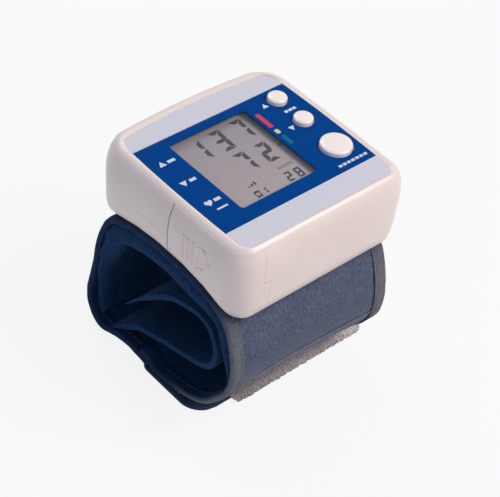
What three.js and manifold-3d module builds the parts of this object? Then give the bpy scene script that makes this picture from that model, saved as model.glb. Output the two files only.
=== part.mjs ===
// Wrist blood pressure monitor: a moulded display housing on a wrapped cuff.
// Millimetres, +Z up, +X along the wrist, +Y from the user's side to the rear.
// The origin is the middle of the footprint, on the surface it stands on.
import * as THREE from "three";
import { mergeVertices } from "three/addons/utils/BufferGeometryUtils.js";
import Module from "manifold-3d";

const wasm = await Module();
wasm.setup();

// Clearances
const fit = 0.3; // between pieces that seat on each other
const seam = 0.25; // parting lines of the case
const overrun = 1; // how far a cutting solid passes the face that it cuts
const weldDistance = 1e-5; // corners this close are one corner

// Heights of the housing
const deckHeight = 78; // face of the display plate above the table
const rimRise = 0.4; // case rim above the plate
const partingDepth = 13.9; // rim down to the line between the case halves
const wall = 2;
const floorThickness = 2;
const roofThickness = 1.8;

// Plan of the face plate, which the case outline follows
const plateWidth = 60.6;
const plateFront = -29.8;
const plateRear = 28.7;
const plateFrontCorner = 3;
const plateRearCorner = 3.5;
const caseRearCorner = 5.5; // the case is rounder there than the plate
const sideBow = 0.7;
const rearBow = 1.9;
const caseBulge = 5.4; // case beyond the plate at its widest
const frontBulgeShare = 0.75;
const rearBulgeShare = 1.15;

// Case section, bottom to top: shares of the bulge, of the depth and of the arch
const caseSectionShares = [
  [0.385, 1, 1],
  [0.654, 0.981, 1],
  [0.788, 0.928, 1],
  [0.904, 0.823, 0.8],
  [0.981, 0.665, 0],
  [1, 0.431, 0],
  [0.91, 0.239, 0],
  [0.75, 0.124, 0],
  [0.55, 0.053, 0],
  [0.37, 0.014, 0],
  [0.2, 0, 0],
  [0.02, 0.019, 0],
];
const cavityFloorShare = 0.788; // bulge where the cavity meets its floor
const cavitySectionShares = caseSectionShares.slice(3, 9);

const rimHeight = deckHeight + rimRise;
const partingHeight = rimHeight - partingDepth;
const plateHalf = plateWidth / 2;

// Face plate, blue panel and window
const plateThickness = 1;
const panelThickness = 0.4;
const panelFrontInset = 9; // in from the plate's edges
const panelRearInset = 7;
const windowLeftInset = 10.8;
const windowRightInset = 19.3;
const windowFrontInset = 5; // in from the panel's edges
const windowRearInset = 3;
const panelFront = plateFront + panelFrontInset;
const panelRear = plateRear - panelRearInset;
const windowLeft = windowLeftInset - plateHalf;
const windowRight = plateHalf - windowRightInset;
const windowFront = panelFront + windowFrontInset;
const windowRear = panelRear - windowRearInset;
const windowCorner = 1.2;
const lensLip = 2.4; // lens beyond the window all round, under the panel
const lensThickness = 1.2;

const plateBottom = deckHeight - plateThickness;
const recessFloor = plateBottom - seam;
const roofUnderside = recessFloor - roofThickness;
const panelBottom = deckHeight - panelThickness;
const channelFloor = panelBottom - seam;
const lensTop = channelFloor;
const lensBottom = lensTop - lensThickness;

// Buttons
const startRadius = 5.3;
const startInset = 7; // in from the plate's right edge
const startFrontInset = 10; // in from the panel's front and rear edges
const memoryRadius = 3.3;
const memoryInset = 6.8;
const memoryUpRearInset = 5;
const memoryDownRearInset = 17.3;
const startX = plateHalf - startInset;
const startY = panelFront + startFrontInset;
const memoryX = plateHalf - memoryInset;
const memoryUpY = panelRear - memoryUpRearInset;
const memoryDownY = panelRear - memoryDownRearInset;
const buttonRise = 1.8;
const buttonDome = 0.9; // height of the domed part of a cap
const buttonFlange = 0.9;
const flangeThickness = 0.8;
const buttonTravel = 0.6;
const domeFullnessShare = 0.5; // lower is a squarer shoulder on the cap
const flangeTop = roofUnderside - seam;
const buttonBottom = flangeTop - flangeThickness;

// Display glass, its frame and its contact strip
const glassMargin = 1.6; // glass beyond the window
const glassThickness = 2;
const glassCorner = 0.12;
const frameWall = 1.5;
const frameHeight = 1.25;
const stripLength = 16;
const stripWidth = 1.8;
const glassTop = lensBottom - seam;
const glassBottom = glassTop - glassThickness;
const frameTop = roofUnderside - seam;
const frameBottom = frameTop - frameHeight;

// Battery bay on the left, two AAA cells side by side
const cellRadius = 5.25;
const cellBody = 43.3;
const cellNubRadius = 1.9;
const cellNub = 1.2;
const cellRear = 15.6;
const cellPitch = 11;
const leftCellInset = 4.8; // in from the plate's left edge
const bayWall = 1.2;
const baySideGap = 0.35;
const bayCeiling = 1;
const bayHeadroom = 2.05; // display frame above the bay's ceiling
const contactSize = 8;
const contactThickness = 0.4;
const contactBump = 1.7;
const contactBumpRadius = 2.6;
const contactTipRadius = 1.2;
const bayCeilingTop = frameBottom - bayHeadroom;
const bayCeilingBottom = bayCeilingTop - bayCeiling;
const cellHeight = bayCeilingBottom - fit - cellRadius;
const cellFront = cellRear - cellBody - cellNub;
const leftCellX = leftCellInset - plateHalf;
const rightCellX = leftCellX + cellPitch;
const bayRight = rightCellX + cellRadius + baySideGap;
const bayBeyondPlate = 2.1;
const bayLeft = -plateHalf - bayBeyondPlate;
const bridgeThickness = 0.3;
const bridgeRear = cellFront - fit;
const bridgeFront = bridgeRear - bridgeThickness;
const bayFrontWallRear = bridgeFront - fit;
const bayFrontWallInset = 1.1;
const bayFrontWallLeft = bayFrontWallInset - plateHalf;
const contactReach = fit + contactBump + contactThickness + fit;
const bayRearWallFront = cellRear + contactReach;
const bayRearWallRear = bayRearWallFront + bayWall;

// Arched underside: the cells set its crown, and it follows the cuff
const cuffOverhang = 7.25; // cuff beyond the plate, front and rear
const archSagShare = 0.146; // drop at the cuff's half depth, of the cuff's height
const archCentreY = -0.8;
const crownHeight = cellHeight - cellRadius - fit - floorThickness;
const crownDepth = rimHeight - crownHeight;
const cuffHalfDepth = (plateRear - plateFront) / 2 + cuffOverhang;
const cuffTop = crownHeight - fit;
const archRadius = cuffHalfDepth ** 2 / (2 * archSagShare * cuffTop);

// Circuit board and what sits on it
const boardThickness = 1.2;
const boardDrop = 3.5; // display glass down to the board
const boardTop = glassBottom - boardDrop;
const boardGap = 0.5; // to the wall of the battery bay
const boardBeyondPlate = 0.7;
const boardFrontInset = 6.3; // in from the plate's edges
const boardRearInset = 7.2;
const boardLeft = bayRight + bayWall + boardGap;
const boardRight = plateHalf + boardBeyondPlate;
const boardFront = plateFront + boardFrontInset;
const boardRear = plateRear - boardRearInset;
const boardBottom = boardTop - boardThickness;
const switchSize = 6;
const switchHeight = 1.35;
const switchPlungerRadius = 1.6;
const switchPlungerTop = buttonBottom - seam - buttonTravel;
const chipSize = 10;
const chipThickness = 1.4;
const chipX = 12;
const chipY = 8;
const sensorSize = 7;
const sensorHeight = 3.4;
const sensorPortRadius = 1.1;
const buzzerRadius = 4.5;
const buzzerHeight = 3.5;
const buzzerX = 20;
const buzzerY = -4;
const underBoard = boardBottom - fit;

// Pegs under the board, in from its edges
const pegRadius = 1.5;
const pegSideInset = 3;
const pegFrontLeftInset = 4.5;
const pegFrontRightInset = 6;
const pegRearInset = 12;

// Battery cover: left wall forward of its seam, round the front corner
const coverSeamY = -0.8;
const coverUpperInset = 3.8; // in from the plate's left edge
const coverLowerInset = 6.8;
const coverUpperX = coverUpperInset - plateHalf;
const coverLowerX = coverLowerInset - plateHalf;
const coverTopDrop = 1.2; // plate down to the cover's upper seam
const coverTop = deckHeight - coverTopDrop;
const gripCount = 4;
const gripPitch = 2.3;
const gripFirstY = -13.8;
const gripTopDrop = 7; // plate down to the ribs
const gripLength = 8.5;
const gripTop = deckHeight - gripTopDrop;
const gripBottom = gripTop - gripLength;
const gripRadius = 0.55;
const gripProud = 0.3;
const tongueReach = 2.6;
const tongueRoot = 3.2;
const tongueThickness = 1.2;
const tongueGap = 0.6; // to the case wall that it lies behind
const tongueBelow = 2.5; // tongue below and above the parting line
const tongueAbove = 3.5;
const tongueBottom = partingHeight - tongueBelow;
const tongueTop = partingHeight + tongueAbove;

// Case screws, at the corners that the battery bay leaves free
const screwLeftInset = 2.3; // in from the plate's edges
const screwRightInset = 1.3;
const screwRearInset = 3.7;
const screwFrontInset = 2.8;
const screwMiddleInset = 1.8;
const screwMiddleX = -3.5;
const screwLeftX = screwLeftInset - plateHalf;
const screwRightX = plateHalf - screwRightInset;
const screwRearY = plateRear - screwRearInset;
const screwPlaces = [
  { name: "screw_rear_left", x: screwLeftX, y: screwRearY },
  { name: "screw_rear_right", x: screwRightX, y: screwRearY },
  { name: "screw_front_right", x: screwRightX, y: plateFront + screwFrontInset },
  { name: "screw_front_middle", x: screwMiddleX, y: plateFront + screwMiddleInset },
];
const screwHeadRadius = 2.1;
const screwHeadFaceRadius = 1.68;
const screwHeadHeight = 1.6;
const screwShankRadius = 1;
const screwLength = 12;
const screwSeat = crownHeight + fit;
const screwBossRadius = 3;

// Pump, valve and air ways
const motorRadius = 5.5;
const motorLength = 18;
const motorY = 21;
const motorRise = 5.6; // crown of the underside up to the motor's axis
const motorHeight = crownHeight + motorRise;
const shaftRadius = 1;
const shaftSeat = 3;
const crankThrow = 0.8;
const crankRadius = 3.2;
const crankThickness = 2.2;
const pumpBayGap = 1.2; // to the wall of the battery bay
const pumpLength = 12.4;
const pumpFront = 13.5;
const pumpRear = 26.5;
const pumpDrop = 3.5; // motor's axis down to the pump's underside
const pumpBottom = motorHeight - pumpDrop;
const pumpTop = underBoard - fit;
const pumpPocketRadius = 4.3;
const pumpPocketDepth = 3.2;
const pumpGap = 0.6; // between the pump head and the motor
const pumpLeft = bayRight + bayWall + pumpBayGap;
const pumpRight = pumpLeft + pumpLength;
const motorX = pumpRight + pumpGap;
const manifoldX = 5.5;
const manifoldWidth = 5;
const manifoldFront = -7;
const manifoldRear = 6.5;
const manifoldHeight = 3;
const sensorY = -4.5;
const nippleY = 4;
const nippleRadius = 2;
const nippleBore = 1;
const nippleFlangeRadius = 3.2;
const nippleFlange = 1.2;
const nippleFlangeBottom = crownHeight + floorThickness + fit;
const nippleTop = nippleFlangeBottom + nippleFlange;
const manifoldBottom = nippleTop + fit;
const manifoldTop = manifoldBottom + manifoldHeight;
const hoseRadius = 1.2;
const hoseSides = 4; // segments in each half turn
const hoseSteps = 14;
const hoseStub = 2.5;
const pumpPortInset = 5.5;
const pumpPortX = pumpLeft + pumpPortInset;
const valveLeft = 14;
const valveLength = 9;
const valveWidth = 8;
const valveHeight = 8;
const valveY = -20;
const plungerRadius = 0.8;
const plungerLength = 6;
const plungerShown = 2.4;
const plungerTravel = 1;

// Cuff: one outline in the YZ plane, and its layers as depths from that outline
const cuffLeft = -35;
const cuffRight = 30.5;
const bindingWidth = 4.5;
const bindingLeaf = 0.35;
const bindingGap = 0.25;
const wrapThickness = 1.2;
const curlerThickness = 0.8;
const curlerInset = 5.5; // back from the cuff's edges
const bladderThickness = 0.8;
const bladderInset = 9;
const liningThickness = 1.6;
const liningInset = 1;
const flapThickness = 2.6;
const flapInset = 0.8;
const cuffSteps = 66;

// Closure strap: it lies flat under the cuff, and its hook tape reaches past its end
const strapThickness = 1.6;
const strapLeftInset = 1.9; // in from the cuff's left edge
const strapRightReach = 1; // beyond the cuff's right edge
const strapRear = 7.2;
const strapFrontInset = 14.7; // in from the cuff's half depth
const strapCorner = 7;
const hookThickness = 0.7;
const hookLeftInset = 11;
const hookDepth = 17.2; // front to rear
const hookOverhang = 4.4; // beyond the strap's front end
const hookCorner = 3;
const strapLeft = cuffLeft + strapLeftInset;
const strapRight = cuffRight + strapRightReach;
const strapFront = strapFrontInset - cuffHalfDepth;
const hookLeft = cuffLeft + hookLeftInset;
const hookFront = strapFront - hookOverhang;
const hookBottom = strapThickness + bindingGap;

// The outline from above the strap's rear end, forward under the cuff, over the top
// and down the rear to the lobe, whose end lies on the strap: shares of the half
// depth and of the top height
const cuffOutlineShares = [
  [0.197, 0.051],
  [-0.022, 0.041],
  [-0.334, 0.069],
  [-0.54, 0.112],
  [-0.69, 0.172],
  [-0.81, 0.261],
  [-0.93, 0.37],
  [-0.966, 0.434],
  [-0.988, 0.505],
  [-0.981, 0.613],
  [-0.926, 0.753],
  [-0.844, 0.858],
  [-0.707, 0.927],
  [-0.433, 0.974],
  [-0.022, 0.999],
  [0.252, 0.987],
  [0.471, 0.961],
  [0.68, 0.912],
  [0.775, 0.849],
  [0.843, 0.753],
  [0.894, 0.63],
  [0.92, 0.49],
  [0.952, 0.368],
  [0.99, 0.228],
  [0.97, 0.115],
  [0.882, 0.026],
  [0.745, -0.009],
  [0.581, 0.027],
  [0.389, 0.052],
  [0.225, 0.045],
  [0.09, (strapThickness + fit) / cuffTop],
];
// The inner flap: a U on its side, from its tip to its sewn end in the lobe
const flapOutlineShares = [
  [0.444, 0.35],
  [0.252, 0.482],
  [-0.022, 0.657],
  [-0.241, 0.739],
  [-0.46, 0.771],
  [-0.625, 0.727],
  [-0.721, 0.63],
  [-0.721, 0.534],
  [-0.625, 0.447],
  [-0.405, 0.385],
  [-0.022, 0.315],
  [0.252, 0.254],
  [0.416, 0.184],
  [0.65, 0.084],
];
const flapSteps = 44;

// Where each layer runs, as shares of the outline's length
const wrapSpanShares = [0.03, 1];
const curlerSpanShares = [0.33, 0.8];
const bladderSpanShares = [0.36, 0.76];
const liningSpanShares = [0.285, 0.845];

const wrapOuter = bindingLeaf + bindingGap;
const wrapInner = wrapOuter + wrapThickness;
const curlerOuter = wrapInner + bindingGap;
const curlerInner = curlerOuter + curlerThickness;
const bladderOuter = curlerInner + bindingGap;
const bladderInner = bladderOuter + bladderThickness;
const liningOuter = bladderInner + bindingGap;
const liningInner = liningOuter + liningThickness;

// Materials
const finish = (color, roughness, metalness = 0) =>
  new THREE.MeshStandardMaterial({ color, roughness, metalness });
const whiteAbs = finish("#e8dcd8", 0.4);
const keyAbs = finish("#f2e6e2", 0.35);
const silverPlate = finish("#c9cfdc", 0.45);
const bluePanel = finish("#003e8c", 0.4);
const clearLens = finish("#dfe6ea", 0.08);
const displayGlass = finish("#a09a9c", 0.25);
const darkPlastic = finish("#3a3c40", 0.55);
const naturalPlastic = finish("#d8d4c8", 0.5);
const boardGreen = finish("#1e5a38", 0.5);
const steel = finish("#b4b6b8", 0.3, 0.9);
const cellCan = finish("#8d9297", 0.35, 0.6);
const siliconeTube = finish("#c8ccd0", 0.4);
const bladderFilm = finish("#4a5462", 0.5);
const loopFabric = finish("#4e5870", 0.95);
const liningFabric = finish("#1c2c44", 0.95);
const bindingTape = finish("#4f535c", 0.9);
const hookFabric = finish("#8a8288", 0.95);

// Solids: each helper returns a closed geometry
function toSolid(geometry) {
  const bare = geometry.clone();
  bare.deleteAttribute("normal");
  bare.deleteAttribute("uv");
  const merged = mergeVertices(bare, weldDistance);
  return new wasm.Manifold(
    new wasm.Mesh({
      numProp: 3,
      vertProperties: new Float32Array(merged.attributes.position.array),
      triVerts: new Uint32Array(merged.index.array),
    })
  );
}

function toGeometry(solid) {
  const mesh = solid.getMesh();
  const geometry = new THREE.BufferGeometry();
  geometry.setAttribute("position", new THREE.BufferAttribute(mesh.vertProperties, 3));
  geometry.setIndex(new THREE.BufferAttribute(mesh.triVerts, 1));
  return geometry;
}

const combine = (way) => (first, ...rest) =>
  toGeometry(rest.reduce((sum, next) => sum[way](toSolid(next)), toSolid(first)));
const join = combine("add");
const cut = combine("subtract");
const common = combine("intersect");

function block(x0, x1, y0, y1, z0, z1) {
  const box = new THREE.BoxGeometry(x1 - x0, y1 - y0, z1 - z0);
  return box.translate((x0 + x1) / 2, (y0 + y1) / 2, (z0 + z1) / 2);
}

function post(radius, x, y, z0, z1, sides = 16) {
  const rod = new THREE.CylinderGeometry(radius, radius, z1 - z0, sides);
  return rod.rotateX(Math.PI / 2).translate(x, y, (z0 + z1) / 2);
}

function rodAlongX(radius, x0, x1, y, z, sides = 24) {
  const rod = new THREE.CylinderGeometry(radius, radius, x1 - x0, sides);
  return rod.rotateZ(Math.PI / 2).translate((x0 + x1) / 2, y, z);
}

function roundedBlock(x0, x1, y0, y1, corner, z0, z1) {
  const shape = new THREE.Shape();
  shape.absarc(x1 - corner, y1 - corner, corner, 0, Math.PI / 2);
  shape.absarc(x0 + corner, y1 - corner, corner, Math.PI / 2, Math.PI);
  shape.absarc(x0 + corner, y0 + corner, corner, Math.PI, Math.PI * 1.5);
  shape.absarc(x1 - corner, y0 + corner, corner, Math.PI * 1.5, Math.PI * 2);
  const plate = new THREE.ExtrudeGeometry(shape, {
    depth: z1 - z0,
    bevelEnabled: false,
    curveSegments: 5,
  });
  return plate.translate(0, 0, z0);
}

function grownWindow(grow, corner, z0, z1) {
  return roundedBlock(
    windowLeft - grow,
    windowRight + grow,
    windowFront - grow,
    windowRear + grow,
    corner + grow,
    z0,
    z1
  );
}

// Half of the case outline, from the front middle by the right side to the rear
function halfOutline(out, rearCornerBase) {
  const halfX = plateHalf + out;
  const frontY = plateFront - out * frontBulgeShare;
  const rearY = plateRear + out * rearBulgeShare;
  const frontCorner = plateFrontCorner + out;
  const rearCorner = rearCornerBase + out;
  const points = [];
  const straight = (from, to, count) => {
    for (let i = 0; i < count; i += 1) {
      points.push(from.clone().lerp(to, i / count));
    }
  };
  const corner = (cx, cy, radius, turn, count) => {
    for (let i = 0; i < count; i += 1) {
      const angle = turn + (Math.PI / 2) * (i / count);
      const side = new THREE.Vector2(Math.cos(angle), Math.sin(angle));
      points.push(side.multiplyScalar(radius).add(new THREE.Vector2(cx, cy)));
    }
  };
  const at = (x, y) => new THREE.Vector2(x, y);
  straight(at(0, frontY), at(halfX - frontCorner, frontY), 2);
  corner(halfX - frontCorner, frontY + frontCorner, frontCorner, -Math.PI / 2, 6);
  straight(at(halfX, frontY + frontCorner), at(halfX, rearY - rearCorner), 5);
  corner(halfX - rearCorner, rearY - rearCorner, rearCorner, 0, 6);
  straight(at(halfX - rearCorner, rearY), at(0, rearY), 4);
  points.push(at(0, rearY));
  const bow = sideBow * (1 - Math.max(out, 0) / caseBulge);
  const middleY = (frontY + rearY) / 2;
  const halfY = (rearY - frontY) / 2;
  return points.map((p) => {
    const u = p.x / halfX;
    const v = (p.y - middleY) / halfY;
    const bowedX = p.x + bow * u * (1 - v * v);
    const bowedY = p.y + (v > 0 ? rearBow * v * (1 - u * u) : 0);
    return at(bowedX, bowedY);
  });
}

const archDrop = (y) => (y - archCentreY) ** 2 / (2 * archRadius);

// A closed solid through levels of outlines, bottom to top, alike left and right
function loft(levels) {
  const positions = [];
  const index = [];
  const half = levels[0].outline.length;
  const count = 2 * half - 2;
  levels.forEach(({ outline, heightAt }) => {
    outline.forEach((p) => positions.push(p.x, p.y, heightAt(p.y)));
    outline.slice(1, -1).reverse().forEach((p) => positions.push(-p.x, p.y, heightAt(p.y)));
  });
  const mirrored = (i) => (i === 0 || i === half - 1 ? i : count - i);
  for (let level = 0; level < levels.length - 1; level += 1) {
    for (let i = 0; i < count; i += 1) {
      const a = level * count + i;
      const b = level * count + ((i + 1) % count);
      index.push(a, b, b + count, a, b + count, a + count);
    }
  }
  const top = (levels.length - 1) * count;
  for (let i = 0; i < half - 1; i += 1) {
    const corners = [i, i + 1, mirrored(i + 1), mirrored(i)];
    const triangles = [
      [corners[0], corners[1], corners[2]],
      [corners[0], corners[2], corners[3]],
    ];
    triangles
      .filter((t) => new Set(t).size === 3)
      .forEach(([a, b, c]) => {
        index.push(a, c, b);
        index.push(top + a, top + b, top + c);
      });
  }
  const geometry = new THREE.BufferGeometry();
  geometry.setAttribute("position", new THREE.Float32BufferAttribute(positions, 3));
  geometry.setIndex(index);
  return geometry;
}

function caseLevel([bulgeShare, depthShare, archShare], inset) {
  return {
    outline: halfOutline(caseBulge * bulgeShare - inset, caseRearCorner),
    heightAt: (y) => rimHeight - crownDepth * depthShare - archShare * archDrop(y),
  };
}

function caseBody() {
  return loft(caseSectionShares.map((shares) => caseLevel(shares, 0)));
}

// The space inside walls of the given thickness over a floor of the given one
function caseSpace(inset, raise) {
  const floorLevel = {
    outline: halfOutline(caseBulge * cavityFloorShare - inset, caseRearCorner),
    heightAt: (y) => crownHeight + raise - archDrop(y),
  };
  return loft([floorLevel, ...cavitySectionShares.map((shares) => caseLevel(shares, inset))]);
}

// A flat plate of the face plate's outline
function platePrism(out, z0, z1) {
  const outline = halfOutline(out, plateRearCorner);
  return loft([
    { outline, heightAt: () => z0 },
    { outline, heightAt: () => z1 },
  ]);
}

const reach = plateWidth; // a cutting box spans the whole part
const above = (z) => block(-reach, reach, -reach, reach, z, rimHeight + reach);
const below = (z) => block(-reach, reach, -reach, reach, -reach, z);

const buttonPlaces = [
  { name: "start_stop", x: startX, y: startY, radius: startRadius },
  { name: "memory_up", x: memoryX, y: memoryUpY, radius: memoryRadius },
  { name: "memory_down", x: memoryX, y: memoryDownY, radius: memoryRadius },
];
const buttonHoles = (z0, z1) =>
  buttonPlaces.map(({ x, y, radius }) => post(radius + fit, x, y, z0, z1, 28));

// Case halves and battery cover
const outerCase = caseBody();
const innerSpace = caseSpace(wall, floorThickness);
const cavity = common(innerSpace, below(roofUnderside));

// The region that the cover takes, grown by the seam where the case is cut
function coverRegion(grow) {
  const upper = block(
    -reach,
    coverUpperX + grow,
    -reach,
    coverSeamY + grow,
    partingHeight,
    coverTop + grow
  );
  const lower = block(
    -reach,
    coverLowerX + grow,
    -reach,
    coverSeamY + grow,
    -reach,
    partingHeight + grow
  );
  return join(upper, lower);
}

const coverCut = cut(coverRegion(seam), caseSpace(wall + seam, floorThickness + seam));
const shell = cut(outerCase, cavity);

// The arched floor of the cover rises as it slides forward: nothing hangs in its way
const coverRun = block(
  -reach,
  coverLowerX + seam,
  -reach,
  coverSeamY + seam,
  -reach,
  crownHeight + floorThickness + seam
);

function screwPost({ x, y }) {
  return post(screwBossRadius, x, y, partingHeight + seam, roofUnderside + overrun);
}

function screwHole({ x, y }) {
  const bottom = partingHeight - overrun;
  return post(screwShankRadius + fit, x, y, bottom, screwSeat + screwLength + fit);
}

function makeUpperCase() {
  const half = common(shell, above(partingHeight + seam / 2));
  const withPosts = join(half, ...screwPlaces.map(screwPost));
  return cut(
    withPosts,
    coverCut,
    platePrism(0, recessFloor, rimHeight + overrun),
    grownWindow(glassMargin + fit, glassCorner, roofUnderside - overrun, rimHeight),
    grownWindow(lensLip + fit, windowCorner, lensBottom - fit, rimHeight),
    ...buttonHoles(roofUnderside - overrun, rimHeight),
    ...screwPlaces.map(screwHole)
  );
}

// Walls, bosses and pegs that stand on the floor of the lower case
function floorFeatures() {
  const pegs = [
    [boardRight - pegSideInset, boardFront + pegFrontRightInset],
    [boardRight - pegSideInset, boardRear - pegRearInset],
    [boardLeft + pegSideInset, boardFront + pegFrontLeftInset],
  ].map(([x, y]) => post(pegRadius, x, y, 0, underBoard, 12));
  const bosses = screwPlaces.map(({ x, y }) =>
    post(screwBossRadius, x, y, 0, partingHeight - seam)
  );
  const bayWalls = [
    block(bayRight, bayRight + bayWall, bayFrontWallRear - bayWall, bayRearWallRear, 0, bayCeilingTop),
    block(bayFrontWallLeft, bayRight + bayWall, bayFrontWallRear - bayWall, bayFrontWallRear, 0,
      bayCeilingTop),
    block(bayLeft, bayRight + bayWall, bayRearWallFront, bayRearWallRear, 0, bayCeilingTop),
    block(bayFrontWallLeft, bayRight + bayWall, bayFrontWallRear - bayWall, bayRearWallRear,
      bayCeilingBottom, bayCeilingTop),
  ];
  const all = join(...pegs, ...bosses, ...bayWalls);
  return common(all, caseSpace(wall / 2, floorThickness / 2));
}

function makeLowerCase() {
  const half = common(shell, below(partingHeight - seam / 2));
  const heads = screwPlaces.map(({ x, y }) =>
    post(screwHeadRadius + fit, x, y, 0, screwSeat)
  );
  return cut(
    join(half, floorFeatures()),
    coverCut,
    coverRun,
    post(nippleRadius + fit, manifoldX, nippleY, 0, crownHeight + floorThickness + overrun),
    ...heads,
    ...screwPlaces.map(({ x, y }) =>
      post(screwShankRadius + fit, x, y, 0, partingHeight + overrun)
    )
  );
}

const sideFaceX = -(plateHalf + caseBulge);

function makeBatteryCover() {
  const skin = common(cut(outerCase, innerSpace), coverRegion(0));
  const grips = Array.from({ length: gripCount }, (_, i) => {
    const y = gripFirstY + i * gripPitch;
    return post(gripRadius, sideFaceX + gripRadius - gripProud, y, gripBottom, gripTop, 12);
  });
  const innerFace = sideFaceX + wall;
  const tongueLeft = innerFace + tongueGap;
  const tongue = block(
    tongueLeft,
    tongueLeft + tongueThickness,
    coverSeamY - tongueRoot,
    coverSeamY + tongueReach,
    tongueBottom,
    tongueTop
  );
  const root = block(
    innerFace - wall / 2,
    tongueLeft + tongueThickness,
    coverSeamY - tongueRoot,
    coverSeamY - wall / 2,
    tongueBottom,
    tongueTop
  );
  return join(skin, ...grips, tongue, root);
}

// Face plate with the channel that takes the blue panel
function makeFacePlate() {
  return cut(
    platePrism(-fit, plateBottom, deckHeight),
    block(-reach, reach, panelFront - seam, panelRear + seam, channelFloor, deckHeight + overrun),
    grownWindow(lensLip + fit, windowCorner, plateBottom - overrun, deckHeight + overrun),
    ...buttonHoles(plateBottom - overrun, deckHeight + overrun)
  );
}

function makeControlPanel() {
  const sheet = common(
    platePrism(-fit, panelBottom, deckHeight),
    block(-reach, reach, panelFront, panelRear, panelBottom - overrun, deckHeight + overrun)
  );
  return cut(
    sheet,
    grownWindow(0, windowCorner, panelBottom - overrun, deckHeight + overrun),
    ...buttonHoles(panelBottom - overrun, deckHeight + overrun)
  );
}

// A domed cap with a flange that the case keeps in
function makeButton({ x, y, radius }) {
  const domeBase = deckHeight + buttonRise - buttonDome;
  const profile = [
    new THREE.Vector2(0, buttonBottom),
    new THREE.Vector2(radius + buttonFlange, buttonBottom),
    new THREE.Vector2(radius + buttonFlange, flangeTop),
    new THREE.Vector2(radius, flangeTop),
  ];
  const domeSteps = 7;
  for (let i = 0; i <= domeSteps; i += 1) {
    const angle = (Math.PI / 2) * (i / domeSteps);
    const out = i === domeSteps ? 0 : radius * Math.cos(angle) ** domeFullnessShare;
    profile.push(new THREE.Vector2(out, domeBase + buttonDome * Math.sin(angle)));
  }
  return new THREE.LatheGeometry(profile, 28).rotateX(Math.PI / 2).translate(x, y, 0);
}

function makeSwitch({ x, y }) {
  const bottom = boardTop + fit;
  const half = switchSize / 2;
  const body = block(x - half, x + half, y - half, y + half, bottom, bottom + switchHeight);
  const middle = bottom + switchHeight / 2;
  return join(body, post(switchPlungerRadius, x, y, middle, switchPlungerTop, 16));
}

// Display
const makeGlass = () => grownWindow(glassMargin, glassCorner, glassBottom, glassTop);

function makeGlassFrame() {
  const outer = grownWindow(glassMargin + fit + frameWall, windowCorner, frameBottom, frameTop);
  const inner = grownWindow(glassMargin + fit, 0, frameBottom - overrun, frameTop + overrun);
  return cut(outer, inner);
}

function makeContactStrip() {
  const right = windowRight;
  const front = windowFront - glassMargin;
  return block(
    right - stripLength,
    right,
    front,
    front + stripWidth,
    boardTop + fit,
    glassBottom - fit
  );
}

// Circuit board
const makeBoard = () =>
  block(boardLeft, boardRight, boardFront, boardRear, boardBottom, boardTop);

function makeChip() {
  const half = chipSize / 2;
  const bottom = underBoard - chipThickness;
  return block(chipX - half, chipX + half, chipY - half, chipY + half, bottom, underBoard);
}

function makeSensor() {
  const half = sensorSize / 2;
  const bottom = underBoard - sensorHeight;
  const body = block(
    manifoldX - half,
    manifoldX + half,
    sensorY - half,
    sensorY + half,
    bottom,
    underBoard
  );
  const port = post(sensorPortRadius, manifoldX, sensorY, manifoldTop + fit, underBoard - fit, 16);
  return join(body, port);
}

const makeBuzzer = () =>
  post(buzzerRadius, buzzerX, buzzerY, underBoard - buzzerHeight, underBoard, 32);

// Cells and contacts
function makeCell(x, turned) {
  const profile = [
    new THREE.Vector2(0, 0),
    new THREE.Vector2(cellRadius, 0),
    new THREE.Vector2(cellRadius, cellBody),
    new THREE.Vector2(cellNubRadius, cellBody),
    new THREE.Vector2(cellNubRadius, cellBody + cellNub),
    new THREE.Vector2(0, cellBody + cellNub),
  ];
  const can = new THREE.LatheGeometry(profile, 20);
  if (turned) {
    can.rotateX(Math.PI).translate(0, cellBody + cellNub, 0);
  }
  return can.translate(x, cellFront, cellHeight);
}

function makeRearContact(x) {
  const half = contactSize / 2;
  const rear = bayRearWallFront - fit;
  const front = rear - contactThickness;
  const plate = block(x - half, x + half, front, rear, cellHeight - half, cellHeight + half);
  const bump = new THREE.CylinderGeometry(
    contactBumpRadius,
    contactTipRadius,
    contactBump + contactThickness / 2,
    16
  );
  bump.translate(x, front - contactBump / 2 + contactThickness / 4, cellHeight);
  return join(plate, bump);
}

function makeFrontBridge() {
  const half = contactSize / 2;
  return block(
    bayFrontWallLeft + fit,
    bayRight - fit,
    bridgeFront,
    bridgeRear,
    cellHeight - half,
    cellHeight + half
  );
}

// A screw with a domed head, from below
function makeScrew({ x, y }) {
  const seat = screwSeat - fit;
  const profile = [
    new THREE.Vector2(0, seat - screwHeadHeight),
    new THREE.Vector2(screwHeadFaceRadius, seat - screwHeadHeight),
    new THREE.Vector2(screwHeadRadius, seat - screwHeadHeight / 2),
    new THREE.Vector2(screwHeadRadius, seat),
    new THREE.Vector2(screwShankRadius, seat),
    new THREE.Vector2(screwShankRadius, seat + screwLength - screwShankRadius),
    new THREE.Vector2(0, seat + screwLength),
  ];
  return new THREE.LatheGeometry(profile, 12).rotateX(Math.PI / 2).translate(x, y, 0);
}

// Pump
const motorEnd = motorX + motorLength;

function makeMotor() {
  return cut(
    rodAlongX(motorRadius, motorX, motorEnd, motorY, motorHeight, 32),
    rodAlongX(shaftRadius + fit, motorX - overrun, motorX + shaftSeat + fit, motorY, motorHeight, 16)
  );
}

function makePumpHead() {
  return cut(
    block(pumpLeft, pumpRight, pumpFront, pumpRear, pumpBottom, pumpTop),
    rodAlongX(
      pumpPocketRadius,
      pumpRight - pumpPocketDepth,
      pumpRight + overrun,
      motorY,
      motorHeight,
      32
    )
  );
}

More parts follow.
